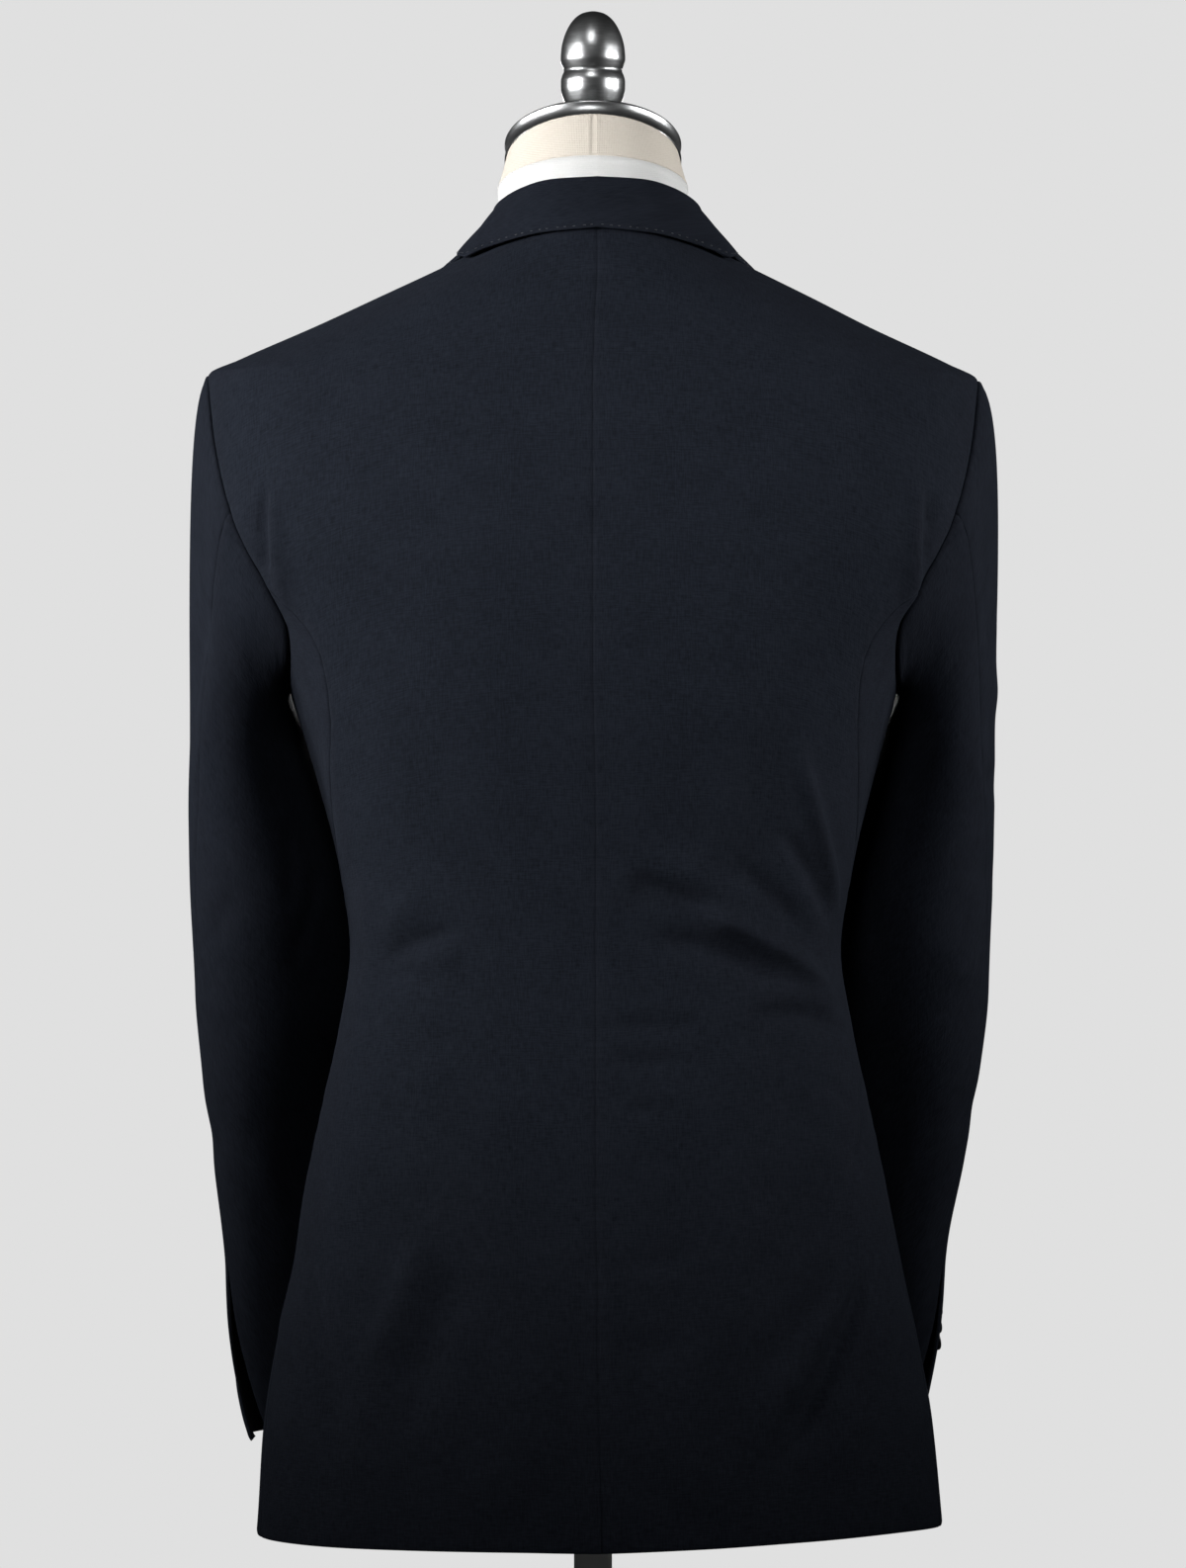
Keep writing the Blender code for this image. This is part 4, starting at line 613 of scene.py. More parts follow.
def sleeve_point(side: Side, turn: Array, share: Array) -> Array:
    """Point of a sleeve: `turn` round it, `share` 0 at the armhole to 1 at the cuff.

    The head is a cubic from the armhole, which it leaves outwards, to the first hanging ring.

    Args:
        side: the wearer's side.
        turn: degrees round the sleeve, from its outer side backwards.
        share: share of the way from the armhole to the cuff.

    Returns:
        The points.
    """
    turn, share = paired(turn, share)
    top_height, cuff_height = SLEEVE_RINGS[0][0], SLEEVE_RINGS[-1][0]
    angle, height = BODY.armhole(turn / 360.0)
    start = BODY.point(side, angle, height)
    upper, aside = (1.0 + np.cos(np.radians(turn))) / 2.0, np.sin(np.radians(turn))
    reach = UNDERARM_REACH + (CAP_REACH[side.value] - UNDERARM_REACH) * upper
    drop = HEAD_DROP + HEAD_DROP_TOP * upper + HEAD_DROP_ASIDE * np.abs(aside)
    leave = np.stack([side.value * reach, HEAD_LEAN * aside, -drop], axis=-1)
    start = start + unit(leave) * ARMHOLE_GAP
    ring = sleeve_ring(side, turn, top_height)
    arrive = (start - ring) * (0.0, 0.0, -HEAD_ARRIVAL)
    t = within(share / CAP_SHARE)[..., None]
    head = cubic(t, start, leave, ring, arrive)
    down = within((share - CAP_SHARE) / (1.0 - CAP_SHARE))
    hanging = sleeve_ring(side, turn, top_height + (cuff_height - top_height) * down)
    return np.where(share[..., None] < CAP_SHARE, head, hanging)


def opened_share(share: Array) -> Array:
    """How far the cuff vent stands open at a share of the sleeve: 0 above it, 1 at the cuff."""
    hanging = SLEEVE_RINGS[0][0] - SLEEVE_RINGS[-1][0]
    start = 1.0 - (VENT_HEIGHT - SLEEVE_RINGS[-1][0]) / hanging * (1.0 - CAP_SHARE)
    return within((share - start) / (1.0 - start))


def vent_flare(side: Side, turn: Array, share: Array) -> Array:
    """How far the top sleeve's flap stands off sideways: more down the vent and towards its edge."""
    near = within(1.0 - (smooth(ELBOW_SEAM, 1, share) - turn) / VENT_FLARE_DEGREES)
    return VENT_FLARE[side.value] * (1.0 - (1.0 - opened_share(share)) ** VENT_ONSET) * near**2


def vent_corner(turn: Array, share: Array) -> Array:
    """How near a place is to the vent's lower corners: 0 away from them to 1 there."""
    near = within(1.0 - np.abs(smooth(ELBOW_SEAM, 1, share) - turn) / VENT_CORNER)
    return near**2 * opened_share(share) ** VENT_ONSET


# ==== Creases ====
@dataclass(frozen=True)
class Crease:
    """A soft trough (depth below zero) or ridge along a bent line on a laid-out cloth.

    The line is a quadratic curve from `start` by `bend` to `end`.  Its section is a bell whose two flanks
    may differ: `steep` divides the width on the right of the line's run and multiplies it on the left.
    """

    start: tuple[float, float]
    bend: tuple[float, float]
    end: tuple[float, float]
    width: float
    depth: float
    steep: float = 1.0

    SAMPLES = 26
    FADE = 0.32  # share of the line over which either end dies away
    REACH = 5.12  # widths beyond which the crease is nothing

    def push(self, across: Array, along: Array) -> Array:
        """Push of the crease at points of the laid-out cloth, in metres.

        The nearest point of the line is found on each short straight of it; the bell of the distance
        from there is faded towards both ends of the line.

        Args:
            across: places across the laid-out cloth, in metres.
            along: places along it.

        Returns:
            The push at each place.
        """
        t = np.linspace(0.0, 1.0, self.SAMPLES)[:, None]
        line = ((1 - t) ** 2 * np.array(self.start) + 2 * t * (1 - t) * np.array(self.bend)
                + t**2 * np.array(self.end))
        reach = self.REACH * self.width
        low, high = line.min(axis=0) - reach, line.max(axis=0) + reach
        near = (across > low[0]) & (across < high[0]) & (along > low[1]) & (along < high[1])
        result = np.zeros(across.shape)
        if not near.any():
            return result
        spot = np.stack([across[near], along[near]], axis=-1)[:, None, :]
        step = np.diff(line, axis=0)
        offset = spot - line[None, :-1]
        share = within((offset * step).sum(-1) / (step**2).sum(-1))
        away = offset - share[..., None] * step
        distance = np.linalg.norm(away, axis=-1)
        best = distance.argmin(axis=1)
        rows = np.arange(len(best))
        place = (best + share[rows, best]) / (self.SAMPLES - 1)
        turn = step[best, 0] * away[rows, best, 1] - step[best, 1] * away[rows, best, 0]
        flank = np.where(turn > 0.0, self.width * self.steep, self.width / self.steep)
        fade = ease(np.minimum(place, 1.0 - place) / self.FADE)
        result[near] = self.depth * bell(distance[rows, best], flank) * fade
        return result


# all in millimetres: x and height over the hem of the start, the bend and the end, seen from behind with the
# wearer's left at positive x; half width; depth (trough below zero); then the steepness where it isn't 1
MM = 0.001
BACK_CREASES = (
    # right of the centre seam, over the hip
    (-50, 362, -86, 355, -143, 302, 6.4, 8.3), (-22, 345, -74, 344, -122, 304, 7.4, -4.9),
    (-16, 376, -42, 376, -74, 350, 8.5, -4.6, 1.1), (-30, 392, -62, 380, -98, 350, 9.5, 3.2),
    (-76, 390, -100, 370, -126, 342, 8, -4.1), (-113, 466, -122, 412, -141, 350, 5.8, 4.4),
    (-104, 410, -122, 382, -139, 346, 6, -3.2), (-84, 298, -116, 311, -146, 284, 5.2, -4.4, 1.1),
    (-80, 309, -114, 323, -145, 297, 5.5, 2.2), (-6, 298, -36, 293, -64, 297, 5.6, -2.9),
    (-6, 277, -30, 273, -58, 277, 5.2, -2.4), (-14, 250, -34, 246, -54, 250, 5, -1.7),
    (-24, 222, -36, 219, -50, 222, 4.6, -1), (-12, 166, -36, 162, -62, 168, 8.5, -2.2),
    (-10, 118, -32, 114, -60, 120, 9, -1.8), (-150, 264, -161, 232, -140, 206, 4.6, -3),
    (-118, 268, -136, 262, -154, 240, 4.6, -1.6), (-110, 240, -134, 238, -158, 214, 5, -1.4),
    (-153, 186, -140, 152, -80, 88, 8.5, -4, 1.1), (-158, 162, -142, 118, -100, 34, 7.2, -6.2, 1.3),
    (-148, 176, -130, 124, -84, 50, 10, 4.4), (-172, 150, -160, 100, -136, 30, 10.5, 2.6),
    # behind the arms
    (-184, 612, -182, 570, -178, 520, 6.2, 3.4, 1.3), (-190, 602, -190, 575, -186, 548, 5, -2.6),
    (-170, 632, -150, 606, -126, 582, 19, 1.6, 1.4), (186, 606, 187, 580, 184, 544, 4, -3.6, 1.2),
    (180, 604, 180, 570, 172, 520, 6, 2.2), (192, 572, 190, 560, 186, 552, 5, -2),
    (150, 470, 146, 420, 140, 360, 10, 1.6),
    # left of the centre seam, over the hip
    (72, 347, 98, 347, 126, 325, 5, -3.4, 1.3), (96, 367, 108, 360, 124, 346, 9, 2.1),
    (70, 334, 90, 335, 110, 316, 8, 2.4), (82, 322, 106, 324, 132, 317, 6, -2.6, 1.1),
    (118, 300, 130, 298, 140, 292, 6, -1.4), (84, 316, 90, 302, 102, 290, 8, 1.2),
    (86, 284, 94, 262, 98, 238, 12, 1.5, 1.3), (86, 258, 92, 256, 98, 252, 4, -0.6),
    (92, 182, 104, 150, 128, 96, 12, 5.2, 0.8), (74, 164, 88, 124, 112, 62, 15, -4, 1.1),
    (158, 156, 157, 104, 134, 46, 11, -3.6, 1.1), (176, 150, 170, 90, 164, 30, 13, 2.2),
    # broad lows and highs of the skirt and the blades
    (-60, 140, -56, 80, -60, 6, 28, 2.6), (36, 130, 46, 70, 42, 6, 30, 2.4),
    (-86, 560, -84, 500, -74, 440, 34, 2.2), (82, 590, 78, 520, 70, 450, 34, 1.6),
)
# the same columns, seen from the front with the wearer's left still at positive x
FRONT_CREASES = (
    (20, 338, 60, 352, 104, 334, 7, -3.6, 1.1), (24, 322, 66, 316, 118, 288, 8.2, 3),
    (30, 308, 64, 296, 96, 276, 6.6, -2.6), (18, 346, 50, 372, 86, 402, 10, 2.6),
    (-30, 334, -64, 346, -110, 330, 7.2, -3.4, 1.1), (-34, 320, -72, 310, -120, 286, 7.8, 2.8),
    (-40, 304, -70, 290, -112, 262, 7, -3), (-30, 350, -58, 380, -92, 410, 10.4, 2.4),
    (150, 560, 158, 528, 160, 490, 8.5, -3.6, 1.1), (136, 566, 142, 530, 140, 470, 9, 2.6),
    (-152, 566, -160, 530, -160, 486, 8.5, -3.8, 1.1), (-134, 572, -144, 524, -139, 478, 8.6, 2.8),
    (86, 168, 88, 100, 100, 30, 15, 3.6), (-92, 156, -94, 96, -108, 26, 16, 4),
    (122, 200, 130, 130, 142, 50, 12, -3.4), (-126, 190, -134, 120, -146, 46, 12, -3.6),
    (52, 120, 50, 70, 56, 20, 11, -2), (-58, 128, -60, 76, -66, 22, 11.6, -2.2),
)


class BodyCreases:
    """The creases of the whole body, laid out by real distance round it and height."""

    def __init__(self) -> None:
        """Place each crease by its x on the side of the body where it lies."""
        self.by_side: dict[Side, list[Crease]] = {side: [] for side in Side}
        for table, front in ((BACK_CREASES, False), (FRONT_CREASES, True)):
            for row in table:
                side = Side.LEFT if row[0] + row[4] > 0.0 else Side.RIGHT
                line = [self.lay(side, row[k] * MM, row[k + 1] * MM, front) for k in (0, 2, 4)]
                steep = row[8] if len(row) > 8 else 1.0
                turned = steep if (side is Side.LEFT) != front else 1.0 / steep
                self.by_side[side].append(Crease(*line, row[6] * MM, row[7] * MM, turned))

    @staticmethod
    def lay(side: Side, x: float, height: float, front: bool) -> tuple[float, float]:
        """Real distance round the body and height of a place given by x and height."""
        angle = BODY.angle_at_x(side, np.array(x), np.array(height), front)
        return float(BODY.girth(side, angle, height)), height

    def push(self, side: Side, angle: Array, height: Array) -> Array:
        """Summed push of all the creases of a side at places on the body."""
        across = BODY.girth(side, angle, height)
        return sum(crease.push(across, height) for crease in self.by_side[side])


BODY_FOLDS = BodyCreases()


# ==== Finishes ====
class Graph:
    """A material's node tree, with short ways to add nodes, link them and set their values."""

    def __init__(self, name: str) -> None:
        """Start a material with one Principled shader."""
        self.material = bpy.data.materials.new(name)
        self.material.use_nodes = True
        self.tree = self.material.node_tree
        self.shader = self.tree.nodes["Principled BSDF"]

    def add(self, kind: str, values: Optional[dict] = None, **settings: object) -> bpy.types.Node:
        """Add a node.

        Args:
            kind: the node's type.
            values: input name or number against a value, or against a socket to link from.
            settings: the node's own properties.

        Returns:
            The new node.
        """
        node = self.tree.nodes.new(kind)
        for key, value in settings.items():
            setattr(node, key, value)
        self.feed(node, values or {})
        return node

    def feed(self, node: bpy.types.Node, values: dict) -> None:
        """Set a node's inputs from values or from other nodes' sockets."""
        for key, value in values.items():
            if isinstance(value, Socket):
                self.tree.links.new(value, node.inputs[key])
            else:
                node.inputs[key].default_value = value

    def drawn(self, place: Socket, scale: tuple[float, float, float]) -> Socket:
        """Coordinates drawn out or pressed together along the axes."""
        return self.add("ShaderNodeMapping", {"Vector": place, "Scale": scale}).outputs["Vector"]

    def ranged(self, share: Socket, low: float, high: float) -> Socket:
        """A value between two, by a share."""
        values = {"Value": share, "To Min": low, "To Max": high}
        return self.add("ShaderNodeMapRange", values).outputs["Result"]

    def dressed(self, values: dict, layers: Sequence[tuple[Socket, float]]) -> Material:
        """Set the shader's inputs, lay on the height layers and hand the material over."""
        self.feed(self.shader, values)
        self.bump(layers)
        return self.material

    def cloth_place(self) -> Socket:
        """The piece's own layout of the cloth, in metres across and along the grain."""
        return self.add("ShaderNodeUVMap", uv_map="cloth").outputs["UV"]

    def object_place(self) -> Socket:
        """Coordinates of the object, in metres."""
        return self.add("ShaderNodeTexCoord").outputs["Object"]

    def noise(self, place: Socket, size: float, detail: float = 2.0) -> Socket:
        """Noise with features about `size` metres wide."""
        values = {"Vector": place, "Scale": 1.0 / size, "Detail": detail, "Roughness": 0.55}
        return self.add("ShaderNodeTexNoise", values).outputs["Fac"]

    def wave(self, place: Socket, pitch: float, lean: float) -> Socket:
        """Fine ribs at a pitch in metres, leaning by an angle in degrees from the cloth's length."""
        turned = self.add("ShaderNodeMapping", {"Vector": place, "Rotation": (0.0, 0.0, math.radians(lean))})
        values = {"Vector": turned.outputs["Vector"], "Scale": 2.0 * math.pi / (20.0 * pitch)}
        return self.add("ShaderNodeTexWave", values, bands_direction="X").outputs["Fac"]

    def threads(self, place: Socket, yarn: float, slub: float,
                along: bool) -> Socket:
        """Noise drawn out into yarns `yarn` wide and `slub` long, down the cloth or across it."""
        scale = (1.0 / yarn, 1.0 / slub, 1.0) if along else (1.0 / slub, 1.0 / yarn, 1.0)
        return self.noise(self.drawn(place, scale), 1.0, 1.0)

    def mixed(self, share: Socket, one: Colour, other: Colour,
              low: float = 0.3, high: float = 0.7) -> Socket:
        """Colour between two, by a value read between `low` and `high`.

        Args:
            share: the value.
            one: colour at `low`.
            other: colour at `high`.
            low: value that gives the first colour.
            high: value that gives the other.

        Returns:
            The colour's socket.
        """
        ramp = self.add("ShaderNodeMapRange", {"Value": share, "From Min": low, "From Max": high})
        values = {"Factor": ramp.outputs["Result"], 6: (*one, 1.0), 7: (*other, 1.0)}
        return self.add("ShaderNodeMix", values, data_type="RGBA").outputs[2]

    def blended(self, share: float, one: Socket, other: Socket,
                kind: str = "MIX") -> Socket:
        """Two colour sockets blended by a fixed share."""
        values = {0: share, 6: one, 7: other}
        return self.add("ShaderNodeMix", values, data_type="RGBA", blend_type=kind).outputs[2]

    def bump(self, layers: Sequence[tuple[Socket, float]]) -> None:
        """Chain height layers, each with its depth in metres, into the shader's normal."""
        normal: Optional[Socket] = None
        for height, depth in layers:
            values = {"Height": height, "Distance": depth, "Strength": 1.0}
            if normal is not None:
                values["Normal"] = normal
            normal = self.add("ShaderNodeBump", values).outputs["Normal"]
        if normal is not None:
            self.tree.links.new(normal, self.shader.inputs["Normal"])


@dataclass(frozen=True)
class WoolFinish:
    """Fine navy suiting wool: a twill too fine to count, a little mottled, with a soft nap."""

    name: str
    dark: Colour = (0.004, 0.0048, 0.007)
    light: Colour = (0.017, 0.0202, 0.0286)
    roughness: float = 0.88
    sheen: float = 0.02
    gloss: float = 0.03
    sheen_tint: Colour = (0.62, 0.74, 1.0)
    yarn: float = 0.0008
    slub: float = 0.008
    cloud: float = 0.03
    fleck: float = 0.0024
    fuzz: float = 0.00026
    relief: float = 0.00006

    def material(self) -> Material:
        """Build the wool from the cloth's own layout."""
        graph = Graph(self.name)
        place = graph.cloth_place()
        warp, weft = (graph.threads(place, self.yarn, self.slub, along) for along in (True, False))
        broad = graph.mixed(graph.noise(place, self.cloud, 4.0), self.dark, self.light, 0.2, 0.8)
        flecks = graph.mixed(graph.noise(place, self.fleck, 2.0), self.dark, self.light, 0.28, 0.72)
        yarns = graph.blended(0.5, *(graph.mixed(yarn, self.dark, self.light) for yarn in (warp, weft)))
        return graph.dressed({
            "Base Color": graph.blended(0.58, graph.blended(0.5, broad, flecks), yarns),
            "Roughness": self.roughness, "Specular IOR Level": self.gloss, "Sheen Weight": self.sheen,
            "Sheen Roughness": 0.45, "Sheen Tint": (*self.sheen_tint, 1.0)},
            ((graph.noise(place, self.cloud, 2.0), 0.001), (graph.noise(place, 0.0022, 3.0), self.fuzz),
             (warp, self.relief), (weft, self.relief)))


@dataclass(frozen=True)
class SatinFinish:
    """Dark woven lining with a soft gloss along its length."""

    name: str
    dark: Colour = (0.003, 0.0034, 0.0048)
    light: Colour = (0.006, 0.0066, 0.009)

    def material(self) -> Material:
        """Build the lining from the cloth's own layout."""
        graph = Graph(self.name)
        place = graph.cloth_place()
        colour = graph.mixed(graph.noise(place, 0.04, 2.0), self.dark, self.light)
        return graph.dressed(
            {"Base Color": colour, "Roughness": 0.52, "Specular IOR Level": 0.35, "Anisotropic": 0.4},
            ((graph.noise(place, 0.02, 2.0), 0.0006), (graph.wave(place, 0.0006, 0.0), 0.00002)))


@dataclass(frozen=True)
class ThreadFinish:
    """Sewing thread, twisted, a shade lighter than the wool."""

    name: str
    dark: Colour = (0.02, 0.023, 0.031)
    light: Colour = (0.04, 0.045, 0.058)

    def material(self) -> Material:
        """Build the thread, its twist as fine ribs."""
        graph = Graph(self.name)
        place = graph.object_place()
        colour = graph.mixed(graph.noise(place, 0.0008, 2.0), self.dark, self.light)
        return graph.dressed({"Base Color": colour, "Roughness": 0.6, "Sheen Weight": 0.2},
                             ((graph.wave(place, 0.0004, 35.0), 0.00004),))


@dataclass(frozen=True)
class HornFinish:
    """Polished dark horn, clouded with faint streaks."""

    name: str
    dark: Colour = (0.0045, 0.0045, 0.0058)
    light: Colour = (0.017, 0.016, 0.018)

    def material(self) -> Material:
        """Build the horn with drawn-out clouds and a worn gloss."""
        graph = Graph(self.name)
        place = graph.object_place()
        streaks = graph.noise(graph.drawn(place, (1.0, 1.0, 0.28)), 0.0022, 5.0)
        worn = graph.ranged(graph.noise(place, 0.003, 3.0), 0.26, 0.42)
        return graph.dressed({"Base Color": graph.mixed(streaks, self.dark, self.light, 0.4, 0.75),
                              "Roughness": worn}, ((graph.noise(place, 0.0012, 3.0), 0.00002),))


@dataclass(frozen=True)
class KnitFinish:
    """Stretched cotton jersey or plain linen: a fine pale cloth cover."""

    name: str
    dark: Colour
    light: Colour
    rib: float
    weave: float

    def material(self) -> Material:
        """Build the cover with ribs both ways and faint soiling."""
        graph = Graph(self.name)
        place = graph.cloth_place()
        broad = graph.mixed(graph.noise(place, 0.06, 3.0), self.dark, self.light)
        fine = graph.mixed(graph.noise(place, self.rib * 1.6, 3.0), self.dark, self.light)
        relief = (graph.wave(place, self.rib, 0.0), graph.wave(place, self.rib, 90.0),
                  graph.noise(place, 0.0025, 2.0))
        return graph.dressed({"Base Color": graph.blended(0.5, broad, fine), "Roughness": 0.86,
                              "Specular IOR Level": 0.2, "Sheen Weight": 0.08},
                             [(height, self.weave) for height in relief])


@dataclass(frozen=True)
class MetalFinish:
    """Turned and brushed metal, its brushing running round the axis."""

    name: str
    dark: Colour = (0.46, 0.47, 0.475)
    light: Colour = (0.6, 0.61, 0.615)

    def material(self) -> Material:
        """Build the metal with fine rings and uneven gloss."""
        graph = Graph(self.name)
        place = graph.object_place()
        rings = graph.noise(graph.drawn(place, (0.12, 0.12, 1.0)), 0.0009, 2.0)
        gloss = graph.ranged(graph.noise(place, 0.02, 3.0), 0.26, 0.36)
        return graph.dressed({"Base Color": graph.mixed(rings, self.dark, self.light), "Roughness": gloss,
                              "Metallic": 1.0}, ((rings, 0.00002),))


@dataclass(frozen=True)
class EnamelFinish:
    """White stove enamel on steel, a little uneven."""

    name: str
    dark: Colour = (0.74, 0.74, 0.74)
    light: Colour = (0.82, 0.82, 0.81)

    def material(self) -> Material:
        """Build the enamel with a slight orange-peel surface."""
        graph = Graph(self.name)
        place = graph.object_place()
        colour = graph.mixed(graph.noise(place, 0.05, 3.0), self.dark, self.light)
        return graph.dressed({"Base Color": colour, "Roughness": 0.32, "Coat Weight": 0.3},
                             ((graph.noise(place, 0.004, 2.0), 0.00005),))


class Finishes:
    """Every finish, made once and handed to the pieces."""

    def __init__(self) -> None:
        """Make the materials."""
        self.wool = WoolFinish("navy_wool").material()
        # a slightly darker copy of the same navy wool: painted shade for the under sleeves and the inner
        # faces of the lapels and the collar
        under = WoolFinish("navy_wool_under", (0.0038, 0.0045, 0.0066), (0.016, 0.019, 0.027))
        self.wool_under = under.material()
        self.lining = SatinFinish("dark_lining").material()
        self.thread = ThreadFinish("navy_thread").material()
        pick = ThreadFinish("pick_thread", (0.007, 0.0084, 0.0118), (0.0125, 0.015, 0.0205))
        self.pick_thread = pick.material()
        self.horn = HornFinish("dark_horn").material()
        jersey = KnitFinish("white_jersey", (0.76, 0.76, 0.75), (0.83, 0.83, 0.82), 0.0011, 0.00008)
        linen = KnitFinish("cream_linen", (0.66, 0.6, 0.52), (0.74, 0.68, 0.6), 0.001, 0.0001)
        self.jersey, self.linen = jersey.material(), linen.material()
        self.metal = MetalFinish("brushed_metal").material()
        self.enamel = EnamelFinish("white_enamel").material()


# ==== Meshes from grids ====
def mesh_object(name: str, points: Array, faces: Array, uvs: Optional[Array] = None) -> Item:
    """Make an object from an array of points and one of corner numbers, all faces with as many corners.

    Args:
        name: the object's name.
        points: count x 3.
        faces: count x corners.
        uvs: one pair per point, written to the layout called "cloth".

    Returns:
        The object, linked to the scene and smooth shaded.
    """
    mesh = bpy.data.meshes.new(name)
    corners = faces.shape[1]
    mesh.vertices.add(len(points))
    mesh.vertices.foreach_set("co", np.ascontiguousarray(points, dtype=np.float32).ravel())
    mesh.loops.add(faces.size)
    mesh.loops.foreach_set("vertex_index", np.ascontiguousarray(faces, dtype=np.int32).ravel())
    mesh.polygons.add(len(faces))
    mesh.polygons.foreach_set("loop_start", np.arange(len(faces), dtype=np.int32) * corners)
    mesh.polygons.foreach_set("use_smooth", np.ones(len(faces), dtype=bool))
    if uvs is not None:
        layer = mesh.uv_layers.new(name="cloth")
        layer.data.foreach_set("uv", np.ascontiguousarray(uvs[faces.ravel()], dtype=np.float32).ravel())
    mesh.update(calc_edges=True)
    mesh.validate()
    item = bpy.data.objects.new(name, mesh)
    bpy.context.scene.collection.objects.link(item)
    return item


def grid_faces(rows: int, columns: int, closed: bool = False, flip: bool = False) -> Array:
    """Corner numbers of a grid's cells; `closed` joins the last column to the first.

    Args:
        rows: rows of points.
        columns: points in a row.
        closed: whether a row closes on itself.
        flip: whether the faces turn over.

    Returns:
        faces x 4 corner numbers.
    """
    row = np.arange(rows - 1)[:, None]
    column = np.arange(columns if closed else columns - 1)[None, :]
    following = (column + 1) % columns
    corners = [row * columns + column, row * columns + following,
               (row + 1) * columns + following, (row + 1) * columns + column]
    faces = np.stack([np.broadcast_to(c, (rows - 1, column.size)) for c in corners], axis=-1).reshape(-1, 4)
    return faces[:, ::-1] if flip else faces


def ring_body(name: str, rings: Array, uvs: Optional[Array] = None) -> Item:
    """A closed body through rings from foot to crown; the first and last rings shrink to points."""
    flat = None if uvs is None else uvs.reshape(-1, 2)
    return mesh_object(name, rings.reshape(-1, 3), grid_faces(*rings.shape[:2], closed=True), flat)


def closed_rings(rings: Array) -> Array:
    """Add a flat middle to the first and last rings: a ring of tiny size at their centres."""
    low, high = rings[0].mean(axis=0), rings[-1].mean(axis=0)
    first = low + (rings[0] - low) * 1e-3
    last = high + (rings[-1] - high) * 1e-3
    return np.concatenate([first[None], rings, last[None]])


def dress(item: Item, materials: Sequence[Material], node: str = "") -> Item:
    """Give a piece its finishes, fix it to the garment and hide the solid that it stands for.

    Args:
        item: the piece.
        materials: its finishes, in the order of its faces' numbers.
        node: the solid that it stands for, or none.

    Returns:
        The piece.
    """
    for material in materials:
        item.data.materials.append(material)
    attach(item, "root")
    if node:
        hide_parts(node)
    return item


@dataclass
class Cloth:
    """One cut piece of cloth on its form.

    Attributes:
        name: name of the visual piece.
        node: the solid it stands for.
        slot: the record's slot; not used.
        form: outer face without creases, rows x columns x 3.
        outward: a direction that leaves the cloth, rows x columns x 3.
        push: creases, rows x columns, in metres along the form's normals.
        wall: thickness.
        rounded: which of the four edges (first row, last row, first column, last column) roll in.
        edge_drop: how far a rolled edge falls.
        edge_reach: distance from the edge at which its roll begins.
    """

    name: str
    node: str
    slot: str
    form: Array
    outward: Array
    push: Array
    wall: float = WALL
    rounded: tuple[bool, bool, bool, bool] = (True, True, True, True)
    edge_drop: float = 0.0007
    edge_reach: float = 0.003

    def rolled(self) -> Array:
        """Push of the edges: within a few millimetres of an edge the face rounds down to it."""
        down, across = run_along(self.form, 0), run_along(self.form, 1)
        ends = (down, down[-1:] - down, across, across[:, -1:] - across)
        push = np.zeros(self.form.shape[:2])
        for use, distance in zip(self.rounded, ends):
            near = within(1.0 - distance / self.edge_reach)
            push = push - self.edge_drop * near**2 * float(use)
        return push

    def build(self, outside: Material, inside: Material, layout: Optional[Array] = None
              ) -> Item:
        """Make the piece: the creased grid, a wall inwards and the lining on its inner face.

        Args:
            outside: the outer face's finish.
            inside: the inner face's finish.
            layout: rows x columns x 2 places on the flat cloth, or none to measure them.

        Returns:
            The piece.
        """
        normals = grid_normals(self.form)
        middle = (self.form.shape[0] // 2, self.form.shape[1] // 2)
        facing = float(np.sign(np.dot(normals[middle], self.outward[middle])))
        points = self.form + normals * facing * (self.push + self.rolled())[..., None]
        rows, columns = self.form.shape[:2]
        if layout is None:
            layout = np.stack([run_along(self.form, 1), run_along(self.form, 0)], axis=-1)
        item = mesh_object(self.name, points.reshape(-1, 3), grid_faces(rows, columns, flip=facing < 0.0),
                           layout.reshape(-1, 2))
        wall = item.modifiers.new("wall", "SOLIDIFY")
        wall.thickness = self.wall
        wall.offset = -1.0
        wall.material_offset = 1
        wall.material_offset_rim = 0
        return dress(item, (outside, inside), self.node)

    def flat(self) -> tuple[float, float]:
        """Width and length of the piece laid flat: its longest row and its longest column."""
        return (float(run_along(self.form, 1)[:, -1].max()), float(run_along(self.form, 0)[-1].max()))


EDGE_PLACES = (0.0, 0.0004, 0.001, 0.0018, 0.0028)  # close rows beside an edge, metres from it
ROW_SAMPLES, COLUMN_SAMPLES = 500, 161  # steps that rows and columns are measured with


def dense_ends(length: float, cell: float) -> Array:
    """Shares 0 to 1 of a length: a few close ones at either end and even ones of `cell` between."""
    near = np.array(EDGE_PLACES)
    count = max(int((length - 2 * near[-1]) / cell), 2)
    middle = np.linspace(near[-1], length - near[-1], count + 1)
    return np.concatenate([near[:-1], middle, (length - near[:-1])[::-1]]) / length


